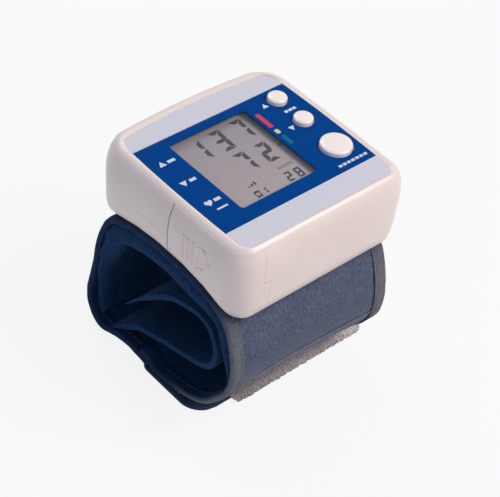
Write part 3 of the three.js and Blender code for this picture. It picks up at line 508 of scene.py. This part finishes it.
# White pictograms stand where a label would: shapes only
pictograms = {
    "height": 78.0, "ink": 0.03,
    "triangles": [(3.5, 33.6, 1.5, 1), (3.5, 23.5, 1.5, -1), (48, 37.05, 1.35, 1),
                  (48, 24.45, 1.35, -1)],
    "heart": (3.9, 12.5, 2.8),
    "labels": [(5.6, 8.4, 33.1, 34.3), (5.6, 8.0, 22.8, 24.0), (6.0, 8.4, 12.0, 13.2),
               (4.2, 8.2, 8.6, 9.3)],
    "keyRows": [(3, 51.3, 1.3, 1.65, 30.8, 31.9), (7, 47.3, 1.3, 1.75, 1.7, 2.7)],
    "bars": {"redBar": ("redInk", 28.1, 35.6), "yellowBar": ("yellowInk", 24.6, 26.7),
             "tealBar": ("tealInk", 18.6, 23.4)},
    "barLeft": 42.25, "barWidth": 1.6, "barCorner": 0.5,
}


def roundBar(x0, x1, y0, y1, corner):
    centres = [(x1 - corner, y1 - corner, 0), (x0 + corner, y1 - corner, 1),
               (x0 + corner, y0 + corner, 2), (x1 - corner, y0 + corner, 3)]
    return onPanel([(x + corner * math.cos(math.pi / 2 * (turn + i / 4)),
                     y + corner * math.sin(math.pi / 2 * (turn + i / 4)))
                    for x, y, turn in centres for i in range(5)])


def makePictograms(values):
    z, ink = values["height"], values["ink"]
    shapes = [triangle(*mark) for mark in values["triangles"]]
    shapes += [heart(*values["heart"])] + [rectangle(*label) for label in values["labels"]]
    for row in values["keyRows"]:
        shapes += barRow(*row)
    flatShapes("whitePictograms", shapes, z, ink, "whiteInk", slotName="blue_panel")
    left, right = values["barLeft"], values["barLeft"] + values["barWidth"]
    for name, (paint, front, rear) in values["bars"].items():
        flatShapes(name, [roundBar(left, right, front, rear, values["barCorner"])], z, ink,
                   paint, slotName="blue_panel")


makePictograms(pictograms)
print("display and prints made")


# The arrow on the battery door: a thin raised line that points the way it slides
arrow = {"proud": 0.14, "line": 0.34, "tail": 1.3, "shoulder": -18.3, "tip": -20.9,
         "top": 71.4, "bottom": 63.7, "sideX": -35.6}


def makeArrow(values):
    middle = (values["top"] + values["bottom"]) / 2
    spread = (values["top"] - values["bottom"]) / 2
    shoulder, tail = values["shoulder"], values["shoulder"] + values["tail"]
    route = [(tail, middle + spread), (shoulder, middle + spread), (values["tip"], middle),
             (shoulder, middle - spread), (tail, middle - spread)]
    bm = bmesh.new()
    half = values["line"] / 2
    for (y0, z0), (y1, z1) in zip(route, route[1:]):
        along = Vector((0, y1 - y0, z1 - z0)).normalized()
        side = along.cross(Vector((1, 0, 0))) * half
        start, end = Vector((values["sideX"], y0, z0)), Vector((values["sideX"], y1, z1))
        corners = [start - side - along * half, start + side - along * half,
                   end + side + along * half, end - side + along * half]
        face = bm.faces.new([bm.verts.new(c * mm) for c in corners])
        raised = bmesh.ops.extrude_face_region(bm, geom=[face])
        moved = [v for v in raised["geom"] if isinstance(v, bmesh.types.BMVert)]
        bmesh.ops.translate(bm, verts=moved, vec=(-values["proud"] * mm, 0, 0))
    bmesh.ops.recalc_face_normals(bm, faces=bm.faces)
    newPiece("doorArrow", toMesh(bm, "doorArrow", smooth=False), "caseAbs", "battery_cover",
             "white_abs")


makeArrow(arrow)


# Cuff: the same outline as the solids, as shares of half depth and top height
cuff = {"left": -35.0, "right": 30.5, "halfDepth": 36.5, "top": 57.0}
cuffOutlineShares = [
    (0.197, 0.051), (-0.022, 0.041), (-0.334, 0.069), (-0.54, 0.112), (-0.69, 0.172),
    (-0.81, 0.261), (-0.93, 0.37), (-0.966, 0.434), (-0.988, 0.505), (-0.981, 0.613),
    (-0.926, 0.753), (-0.844, 0.858), (-0.707, 0.927), (-0.433, 0.974), (-0.022, 0.999),
    (0.252, 0.987), (0.471, 0.961), (0.68, 0.912), (0.775, 0.849), (0.843, 0.753),
    (0.894, 0.63), (0.92, 0.49), (0.952, 0.368), (0.99, 0.228), (0.97, 0.115),
    (0.882, 0.026), (0.745, -0.009), (0.581, 0.027), (0.389, 0.052), (0.225, 0.045),
    (0.09, 1.9 / 57),
]
flapOutlineShares = [
    (0.444, 0.35), (0.252, 0.482), (-0.022, 0.657), (-0.241, 0.739), (-0.46, 0.771),
    (-0.625, 0.727), (-0.721, 0.63), (-0.721, 0.534), (-0.625, 0.447), (-0.405, 0.385),
    (-0.022, 0.315), (0.252, 0.254), (0.416, 0.184), (0.65, 0.084),
]


class ClothLine:  # a smooth line through points, read by its share of length
    def __init__(self, points):
        points = np.array(points, dtype=float)
        padded = np.vstack([points[0], points, points[-1]])
        t = np.linspace(0, 1, 24, endpoint=False)[:, None]  # 24 steps from point to point
        rows = []
        for a, b, c, d in zip(padded, padded[1:], padded[2:], padded[3:]):
            rows.append(0.5 * (2 * b + (c - a) * t + (2 * a - 5 * b + 4 * c - d) * t**2
                               + (3 * b - a - 3 * c + d) * t**3))
        self.points = np.vstack([*rows, points[-1]])
        steps = np.linalg.norm(np.diff(self.points, axis=0), axis=1)
        self.at = np.concatenate([[0], np.cumsum(steps)])
        self.length = self.at[-1]

    def where(self, share):
        return np.array([np.interp(share * self.length, self.at, self.points[:, k])
                         for k in (0, 1)])

    def inside(self, share, depth):  # the point this deep inside the line
        step = 0.002  # of its length, to find its direction
        low, high = max(share - step, 0), min(share + step, 1)
        along = self.where(high) - self.where(low)
        along = along / np.linalg.norm(along)
        return self.where(share) + np.array([along[1], -along[0]]) * depth


def cuffPoints(shares):
    return [(y * cuff["halfDepth"], z * cuff["top"]) for y, z in shares]


cuffLine = ClothLine(cuffPoints(cuffOutlineShares))
flapLine = ClothLine(cuffPoints(flapOutlineShares))


def ripple(x, y, z, size, seed=0.0):
    return noise.noise(Vector((x / size + seed, y / size - seed, z / size)))


def rise(value, start, run):  # 0 up to start, 1 from start + run, smooth between
    t = min(1.0, max(0.0, (value - start) / run))
    return t * t * (3 - 2 * t)


def bell(value, middle, spread):
    return math.exp(-(((value - middle) / spread) ** 2))


# Low in front the cuff is fuller towards its right end, and its first end laps over the last
fullness = {"from": -8.0, "to": 30.0, "out": 1.75, "middle": 0.2, "spread": 0.055,
            "lapShare": 0.034, "lapRun": 0.02, "lapRise": 2.4}


def cuffSwell(x, share, values=fullness):
    fuller = rise(x, values["from"], values["to"] - values["from"])
    low = bell(share, values["middle"], values["spread"])
    lap = rise(values["lapShare"] - share, 0, values["lapRun"])
    return values["lapRise"] * lap - values["out"] * fuller * low


def clothGrid(across, along, placeAt, toneAt=None):
    bm = bmesh.new()
    bmesh.ops.create_grid(bm, x_segments=across, y_segments=along, size=1, calc_uvs=False)
    tone = bm.verts.layers.float.new("tone") if toneAt else None
    for vertex in bm.verts:
        u, v = (vertex.co.x + 1) / 2, (vertex.co.y + 1) / 2
        vertex.co = Vector(placeAt(u, v)) * mm
        if toneAt:
            vertex[tone] = toneAt(u, v)
    bmesh.ops.recalc_face_normals(bm, faces=bm.faces)
    return bm


clothEdges = {"thinShare": 0.2, "segments": 3, "sharp": 50}


def finishCloth(piece, thickness, edge=0.0, innerFace=None):
    wall = piece.modifiers.new("clothThickness", "SOLIDIFY")
    wall.thickness, wall.offset = thickness * mm, 0
    if innerFace:
        piece.data.materials.append(paints[innerFace])
        wall.material_offset = 1
    if "taper" in piece.vertex_groups:
        wall.vertex_group, wall.thickness_vertex_group = "taper", clothEdges["thinShare"]
    if edge:
        soften = piece.modifiers.new("softEdges", "BEVEL")
        soften.width, soften.segments = edge * mm, clothEdges["segments"]
        soften.limit_method = "ANGLE"
        soften.angle_limit = math.radians(clothEdges["sharp"])


def layerPiece(values, line=cuffLine):
    low, high = values["span"]
    thickness = values["thickness"]
    x0, x1 = cuff["left"] + values["inset"], cuff["right"] - values["inset"]

    def placeAt(u, v):
        share = low + (high - low) * v
        if "profile" in values:
            x, depth = values["profile"].where(u)
        else:
            x, depth = x0 + (x1 - x0) * u, values["depth"]
        y, z = line.inside(share, depth)
        push = values["ripple"] * ripple(x, y, z, values["rippleSize"], values["seed"])
        if "shape" in values:
            slide, more = values["shape"](u, v, x, depth)
            x, push = x + slide, push + more
        if values.get("swells"):
            push += cuffSwell(x, share)
        return x, *line.inside(share, depth + push)

    bm = clothGrid(values["across"], values["along"], placeAt)
    shares = [(i // (values["across"] + 1)) / values["along"] for i in range(len(bm.verts))]
    piece = newPiece(values["name"], toMesh(bm, values["name"]), values["paint"],
                     values["body"], values["slot"])
    if "taper" in values:
        group = piece.vertex_groups.new(name="taper")
        for i, v in enumerate(shares):
            thin = min(1.0, v / values["taper"], (1 - v) / values["endTaper"])
            group.add([i], thin, "REPLACE")
    finishCloth(piece, thickness, thickness * values["roundness"], values.get("innerFace"))
    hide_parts(values["node"])
    width = values["profile"].length if "profile" in values else x1 - x0
    values["piece"], values["flat"] = piece, (width * mm, (high - low) * line.length * mm)


def declareSheet(values, withPieces=()):
    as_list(values["restsOn"])


# Across the lining, x and depth: it rolls over the padding at each end of the cuff
liningAcross = [(-33.0, 2.75), (-34.1, 3.1), (-34.6, 4.0), (-34.5, 5.1), (-33.6, 6.1),
                (-32.0, 6.5), (-29.5, 6.2), (-26.5, 5.4), (-22.0, 5.0), (0, 4.9), (18, 5.0),
                (22.5, 5.4), (26.0, 6.1), (28.3, 6.2), (29.6, 5.4), (30.0, 4.2), (29.3, 3.1),
                (28.3, 2.75)]

# The lining's slack in mm; a pair says where along its length a change starts, and its run
slack = {
    "reach": 5.5, "broad": 46, "narrow": 97, "gather": 0.16, "gatherOut": 0.14, "wander": 0.6,
    "calm": 0.7, "calmAt": (0.78, 0.08),  # fewer gathers up the rear
    "setBack": 2.6, "setBackAt": (0.8, 0.1),  # behind the rear lobe
    "sag": 2.2, "sagFrom": (0.18, 0.15), "sagTo": (0.72, 0.08),  # under the roof
    "hang": 1.0, "hangAt": (0.63, 0.1),  # where the padding hangs most
    "flat": 1.5, "flatAt": (0.74, 0.1),  # against the rear wall
    "leftPart": -22, "setBackRun": 8, "sagRun": 9, "sagAcross": 0.08,
    "thinDepth": 2.4, "thinRun": 0.13,  # its lower end thins out on the wrap
}


def liningPuckers(u, v, x, depth, values=slack):  # gathers run in from the seam and die out
    fromEnd = min(x - cuff["left"], cuff["right"] - x)
    fromLeftPart = values["leftPart"] - x
    near = bell(fromEnd, 0, values["reach"]) * (1 - values["calm"] * rise(v, *values["calmAt"]))
    setBack = (values["setBack"] * rise(v, *values["setBackAt"])
               * rise(fromLeftPart, 0, values["setBackRun"]))
    gather = (math.sin(values["broad"] * v + 2.6 * math.sin(9 * v))
              + 0.6 * math.sin(values["narrow"] * v + 1.3))
    wander = values["wander"] * noise.noise(Vector((v * 14, 2.0, 0)))
    roof = rise(v, *values["sagFrom"]) * (1 - rise(v, *values["sagTo"]))
    sag = values["sag"] * roof + values["hang"] * bell(v, *values["hangAt"])
    sag -= values["flat"] * rise(v, *values["flatAt"])
    sag *= rise(u, 0, values["sagAcross"]) * rise(fromLeftPart, 0, values["sagRun"])
    more = (values["gather"] * gather + wander) * near + sag
    low = 1 - rise(v, 0, values["thinRun"])
    return (setBack + values["gatherOut"] * gather * near,
            more * (1 - low) + (values["thinDepth"] - depth) * low)


waves = {"width": 63.9, "wander": 0.7, "curl": 0.45, "reach": 4.0, "settle": 0.55,
         "settleAt": (0.92, 0.08)}


def flapWaves(u, v, x, depth, values=waves):  # the free edges wander, the rim curls a little
    fromEdge = min(u, 1 - u) * values["width"]
    side = 1 if u > 0.5 else -1
    wander = values["wander"] * noise.noise(Vector((v * 7, side * 3.0, 1.0)))
    near = bell(fromEdge, 0, values["reach"])
    settle = values["settle"] * rise(v, *values["settleAt"])  # its end lies on the binding
    return wander * near, values["curl"] * near * math.sin(13 * v + 0.8) + settle


wrapCloth = {
    "name": "loopWrap", "node": "cuff_wrap", "paint": "loop", "body": "monitor",
    "slot": "loop_fabric", "span": (0, 1), "depth": 1.2, "thickness": 1.2, "inset": 0.6,
    "ripple": 0.16, "rippleSize": 9, "seed": 3.1, "across": 60, "along": 190,
    "roundness": 0.3, "innerFace": "lining", "held": "stretched", "restsOn": ["lower_case"],
    "swells": True,
}
liningCloth = {
    "name": "innerLining", "node": "cuff_lining", "paint": "lining", "body": "monitor",
    "slot": "lining_fabric", "span": (0.24, 0.862), "thickness": 0.8, "inset": 1,
    "profile": ClothLine(liningAcross), "ripple": 0.25, "rippleSize": 7, "seed": 8.4,
    "across": 110, "along": 190, "roundness": 0.3, "held": "stretched",
    "restsOn": ["cuff_wrap"], "shape": liningPuckers,
}
flapCloth = {
    "name": "innerFlap", "node": "inner_flap", "paint": "lining", "body": "monitor",
    "slot": "lining_fabric", "span": (0, 1), "depth": 0, "thickness": 2.1, "inset": 0.8,
    "ripple": 0.5, "rippleSize": 11, "seed": 1.7, "across": 60, "along": 120, "taper": 0.16,
    "endTaper": 0.07, "seam": (0.62, 0.93), "seamX": -30.4, "seamDepth": 1.1,
    "roundness": 0.42, "held": "folded", "restsOn": ["cuff_wrap"], "shape": flapWaves,
}
for cloth in (wrapCloth, liningCloth):
    layerPiece(cloth)
layerPiece(flapCloth, flapLine)
declareSheet(liningCloth)
print("cloth layers made")


# Closure strap: it lies flat under the cuff, taped and stitched round its edge
strap = {"left": -34.7, "right": 31.5, "front": -22.2, "rear": 7.2, "corner": 8.5,
         # tone: how much of the binding's navy painted shade it takes
         "rearCorner": 4.0, "low": 0.2, "high": 1.6, "wave": 0.05, "edge": 0.4, "tone": 0.8,
         "across": 64, "along": 40, "seam": (0.3, 0.98), "seamIn": 1.6, "seamDepth": 0.08}


def roundedEnd(along, corner):  # how far a rounded corner comes in, this far from its end
    return corner - math.sqrt(max(corner**2 - max(corner - along, 0) ** 2, 0))


def makeStrap(values):
    thickness = values["high"] - values["low"]
    middle = (values["high"] + values["low"]) / 2

    def placeAt(u, v):
        y = values["front"] + (values["rear"] - values["front"]) * v
        inwards = max(roundedEnd(y - values["front"], values["corner"]),
                      roundedEnd(values["rear"] - y, values["rearCorner"]))
        x = values["left"] + inwards + (values["right"] - values["left"] - 2 * inwards) * u
        return x, y, middle + values["wave"] * ripple(x, y, 0, 8, 5.5)

    bm = clothGrid(values["across"], values["along"], placeAt, lambda u, v: values["tone"])
    piece = newPiece("closureStrap", toMesh(bm, "closureStrap"), "binding", "closure_strap",
                     "binding_tape")
    finishCloth(piece, thickness, values["edge"])
    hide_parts("closure_strap")
    return piece


closureStrap = makeStrap(strap)


# Hook tape: it reaches past the strap's end; coarse tufts in ribs, a ragged front edge
hook = {"left": -20.8, "right": 36.2, "front": -25.5, "depth": 16.5, "corner": 2.5,
        "low": 1.85, "thickness": 0.5, "rib": 0.95, "height": 0.34, "wobble": 0.9,
        "wobbleSize": 1.8, "tuftSize": 0.7, "droop": 0.75, "droopRun": 1.3, "ragged": 0.5,
        # the 0.4 below is how far painted shade darkens its left end
        "raggedRun": 1.6, "raggedSize": 1.7, "paintedLight": 0.4, "across": 280, "along": 60}


def makeHookTape(values):
    width, front = values["right"] - values["left"], values["front"]

    def placeAt(u, v):
        y = front + values["depth"] * v**1.5  # finer rows towards the front edge
        inwards = roundedEnd(min(y - front, front + values["depth"] - y), values["corner"])
        x = values["left"] + inwards + (width - 2 * inwards) * u
        wobble = values["wobble"] * ripple(x, y, 0, values["wobbleSize"], 2.0)
        ribs = 0.5 + 0.5 * math.sin(2 * math.pi * (x / values["rib"] + wobble))
        tuft = 0.5 + 0.5 * ripple(x, y, 0, values["tuftSize"], 6.0)
        lift = values["height"] * (0.5 * ribs + 0.5 * tuft)
        droop = values["droop"] * bell(y, front, values["droopRun"])
        ragged = (values["ragged"] * (ribs - 0.5 + ripple(x, 0, 0, values["raggedSize"], 4.0))
                  * bell(y, front, values["raggedRun"]))
        return x, y - ragged, values["low"] + lift - droop

    def toneAt(u, v):  # painted shade, darker towards the left end
        return values["paintedLight"] * (1 - u) ** 1.5

    bm = clothGrid(values["across"], values["along"], placeAt, toneAt)
    piece = newPiece("hookTape", toMesh(bm, "hookTape"), "hook", "closure_strap", "hook_fabric")
    finishCloth(piece, values["thickness"])
    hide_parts("hook_tape")


makeHookTape(hook)


# Binding tape: folded over each end of the cuff, stitched through; spans are shares along it
binding = {
    "leaf": 0.35, "depth": 2.4, "span": (0, 1), "across": 40, "along": 230,
    "leftWidth": 4.5, "rightWidth": 5.4, "pucker": 0.16, "puckerSize": 3.2,
    "seamIn": 1.1, "seamDeep": 0.24, "seamRun": 0.4, "outerTo": 0.4,
    "turned": (0.35, 0.6),  # shares of the fold where painted shade starts to darken its tone, and its run
    # painted shade over the tape, and the shares where it lifts low in front, where light falls
    "paintedShade": 0.92, "paintedLitFrom": (0.07, 0.06), "paintedLitTo": (0.31, 0.1),
    "stitchPitch": 2.3, "stitchLength": 1.5, "stitchRadius": 0.19, "stitchTilt": 0.06,
    "lowest": 0.3, "outerDepth": 0.14, "outerSeam": (0.06, 0.97), "lowerSeam": (0.05, 0.26),
    "lobeSeam": (0.86, 0.97),
}


def bindingFold(values, width, u):  # how far in, how deep, and its painted shade, 1 once the tape has turned in
    leaf, depth = values["leaf"], values["depth"]
    radius = (depth - leaf) / 2
    legs = width - radius - leaf / 2
    turn = math.pi * radius
    run = u * (2 * legs + turn)
    start, length = values["turned"]
    tone = rise(run - legs, start * turn, length * turn)
    if run < legs:
        return width - run, leaf / 2, tone
    if run < legs + turn:
        angle = (run - legs) / radius
        return (leaf / 2 + radius * (1 - math.sin(angle)),
                leaf / 2 + radius * (1 - math.cos(angle)), tone)
    return leaf / 2 + radius + (run - legs - turn), depth - leaf / 2, tone


def makeStitches(name, line, span, x, depth, values, body, paint="thread"):
    count = int((span[1] - span[0]) * line.length / values["stitchPitch"])
    bm = bmesh.new()
    for i in range(count):
        share = span[0] + (span[1] - span[0]) * (i + 0.5) / count
        half = values["stitchLength"] / 2 / line.length
        sunk = depth + (cuffSwell(x, share) if line is cuffLine else 0)
        start, end = line.inside(share - half, sunk), line.inside(share + half, sunk)
        middle, along = (start + end) / 2, end - start
        if middle[1] < values["lowest"]:
            continue  # under the cuff, where it lies on the table
        made = bmesh.ops.create_uvsphere(bm, u_segments=6, v_segments=4, radius=1)
        size = Matrix.Diagonal((values["stitchRadius"], values["stitchRadius"],
                                values["stitchLength"] / 2, 1))
        tilt = values["stitchTilt"] * (-1) ** i
        turn = Vector((tilt, *along)).to_track_quat("Z", "X").to_matrix().to_4x4()
        place = Matrix.Translation(Vector((x, *middle)))
        bmesh.ops.transform(bm, matrix=Matrix.Scale(mm, 4) @ place @ turn @ size,
                            verts=made["verts"])
    return newPiece(name, toMesh(bm, name), paint, body, "binding_tape")


def makeBinding(name, node, edge, inwards, width, values):
    low, high = values["span"]

    def placeAt(u, v):
        out, depth, _ = bindingFold(values, width, u)
        share = low + (high - low) * v
        x = edge + inwards * out
        y, z = cuffLine.inside(share, depth)
        seam = 0
        if depth < values["outerTo"]:  # the stitches pull the outer leaf in
            seam = bell(out - width, -values["seamIn"], values["seamRun"])
        pull = (values["pucker"] * ripple(x, y, z, values["puckerSize"], 7.7)
                + cuffSwell(x, share) + values["seamDeep"] * seam)
        y, z = cuffLine.inside(share, depth + pull)
        return x, y, max(z, values["leaf"] / 2)

    def toneAt(u, v):  # painted shade: navy all along, greyer only low in front, where it is lit
        paintedLight = rise(v, *values["paintedLitFrom"]) * (1 - rise(v, *values["paintedLitTo"]))
        return max(bindingFold(values, width, u)[2], values["paintedShade"] * (1 - paintedLight))

    bm = clothGrid(values["across"], values["along"], placeAt, toneAt)
    piece = newPiece(name, toMesh(bm, name), "binding", "monitor", "binding_tape")
    finishCloth(piece, values["leaf"] - 0.02)
    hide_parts(node)
    stitchAt = edge + inwards * (width - values["seamIn"])
    innerDepth = values["depth"] + 0.02
    return [
        piece,
        makeStitches(name + "OuterStitches", cuffLine, values["outerSeam"], stitchAt,
                     values["outerDepth"], values, "monitor"),
        makeStitches(name + "LowerStitches", cuffLine, values["lowerSeam"], stitchAt,
                     innerDepth, values, "monitor", "navyThread"),
        makeStitches(name + "LobeStitches", cuffLine, values["lobeSeam"], stitchAt,
                     innerDepth, values, "monitor", "navyThread"),
    ]


# The wrap's front hem: a thin fold that follows its fullness and fades at both ends, painted
# lighter than the loop as a painted highlight along its crest
hem = {"from": -26.0, "to": 25.5, "share": 0.24, "radius": 0.32, "sunk": 0.12, "fade": 8,
       "waver": 0.1, "waverSize": 6}


def makeHem(values):
    def placeAt(u, v):  # round the fold, then along it
        x = values["from"] + (values["to"] - values["from"]) * v
        size = values["radius"] * min(1, values["fade"] * v, values["fade"] * (1 - v)) ** 0.5
        waver = values["waver"] * ripple(x, 0, 0, values["waverSize"], 1.0)
        depth = values["sunk"] + cuffSwell(x, values["share"]) + waver
        y, z = cuffLine.inside(values["share"], depth)
        angle = 2 * math.pi * u
        return x, y + size * math.cos(angle), z + size * math.sin(angle)

    bm = clothGrid(10, 120, placeAt)
    bmesh.ops.remove_doubles(bm, verts=bm.verts, dist=0.01 * mm)
    bmesh.ops.recalc_face_normals(bm, faces=bm.faces)
    return newPiece("frontHem", toMesh(bm, "frontHem"), "hem", "monitor", "loop_fabric")


leftTrim = makeBinding("leftBinding", "edge_binding_left", cuff["left"], 1,
                       binding["leftWidth"], binding)
rightTrim = makeBinding("rightBinding", "edge_binding_right", cuff["right"], -1,
                        binding["rightWidth"], binding)
declareSheet(wrapCloth, leftTrim + rightTrim + [makeHem(hem)])
flapSeam = makeStitches("flapStitches", flapLine, flapCloth["seam"], flapCloth["seamX"],
                        flapCloth["seamDepth"], binding, "monitor", "navyThread")
declareSheet(flapCloth, [flapSeam])
strapEdge = ClothLine([(strap["front"] + strap["seamIn"], strap["high"]),
                       (strap["rear"] - 1, strap["high"])])
strapSeam = makeStitches("strapStitches", strapEdge, strap["seam"],
                         strap["left"] + strap["seamIn"], strap["seamDepth"], binding,
                         "closure_strap")
print("bindings and stitches made")


# Air bladder: a flat welded bag between the curler and the lining
bladder = {"span": (0.36, 0.76), "depth": 3.5, "inset": 9, "thickness": 0.7, "edge": 0.25,
           "across": 24, "along": 60}


def makeBladder(values):
    low, high = values["span"]
    x0, x1 = cuff["left"] + values["inset"], cuff["right"] - values["inset"]

    def placeAt(u, v):
        share = low + (high - low) * v
        return (x0 + (x1 - x0) * u, *cuffLine.inside(share, values["depth"]))

    bm = clothGrid(values["across"], values["along"], placeAt)
    piece = newPiece("airBag", toMesh(bm, "airBag"), "film", "monitor", "bladder_film")
    finishCloth(piece, values["thickness"], values["edge"])
    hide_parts("air_bladder")


makeBladder(bladder)


# Stage: plain pale floor, soft light
studio = {"floor": "#E8E8E8", "world": 0.3, "shown": 0.86, "sky": "#DCE6FF",
          "warm": "#FFF4EA", "lampSize": 0.6, "key": 7.7, "keyPlace": (0.42, -0.55, 0.85),
          "fill": 1.35, "fillPlace": (-0.9, -0.35, 0.6), "rear": 3.4,
          "rearPlace": (0.2, 0.9, 0.8)}


def softLamp(name, place, size, watts, colour="#FFFFFF"):
    data = bpy.data.lights.new(name, "AREA")
    data.shape, data.size, data.energy = "DISK", size, watts
    data.color = linear(colour)[:3]
    lamp = bpy.data.objects.new(name, data)
    scene.collection.objects.link(lamp)
    lamp.location = place
    lamp.rotation_mode = "QUATERNION"
    lamp.rotation_quaternion = (Vector((0, 0, 0.04)) - Vector(place)).to_track_quat("-Z", "Y")


def seenDirectly(tree):  # 1 for what the camera sees, also through glass or in a reflection
    path = addNode(tree, "ShaderNodeLightPath")
    first = addNode(tree, "ShaderNodeMath", {"operation": "MAXIMUM"},
                    {0: path.outputs["Is Camera Ray"], 1: path.outputs["Is Glossy Ray"]})
    return addNode(tree, "ShaderNodeMath", {"operation": "MAXIMUM"},
                   {0: first.outputs[0], 1: path.outputs["Is Transmission Ray"]}).outputs[0]


def makeStage(values):
    bm = bmesh.new()
    bmesh.ops.create_grid(bm, x_segments=1, y_segments=1, size=6)
    mesh = bpy.data.meshes.new("studioFloor")
    bm.to_mesh(mesh)
    bm.free()
    floor = bpy.data.objects.new("studioFloor", mesh)
    scene.collection.objects.link(floor)
    material = bpy.data.materials.new("paleFloor")
    material.use_nodes = True
    tree = material.node_tree
    surface = tree.nodes["Principled BSDF"]
    surface.inputs["Base Color"].default_value = linear(values["floor"])
    surface.inputs["Roughness"].default_value = 0.9
    surface.inputs["Specular IOR Level"].default_value = 0.1
    glow = addNode(tree, "ShaderNodeEmission", {"Color": linear("#FFFFFF"), "Strength": 1.0})
    share = addNode(tree, "ShaderNodeMath", {"operation": "MULTIPLY", 1: values["shown"]},
                    {0: seenDirectly(tree)})
    mixed = addNode(tree, "ShaderNodeMixShader", links={
        0: share.outputs[0], 1: surface.outputs[0], 2: glow.outputs[0]})
    tree.links.new(mixed.outputs[0], tree.nodes["Material Output"].inputs["Surface"])
    mesh.materials.append(material)

    world = bpy.data.worlds.new("paleStudio")
    scene.world = world
    world.use_nodes = True
    tree = world.node_tree
    lit = tree.nodes["Background"]
    lit.inputs["Color"].default_value = linear(values["sky"])
    lit.inputs["Strength"].default_value = values["world"]
    seen = addNode(tree, "ShaderNodeBackground", {"Color": linear("#FFFFFF"), "Strength": 1.0})
    mixed = addNode(tree, "ShaderNodeMixShader", links={
        0: seenDirectly(tree), 1: lit.outputs[0], 2: seen.outputs[0]})
    tree.links.new(mixed.outputs[0], tree.nodes["World Output"].inputs["Surface"])

    size = values["lampSize"]
    softLamp("keyLight", values["keyPlace"], size, values["key"], values["warm"])
    softLamp("fillLight", values["fillPlace"], size, values["fill"], values["sky"])
    softLamp("rearLight", values["rearPlace"], size, values["rear"])


makeStage(studio)
scene.view_settings.view_transform = "Standard"
print("stage made")

bpy.context.view_layer.update()
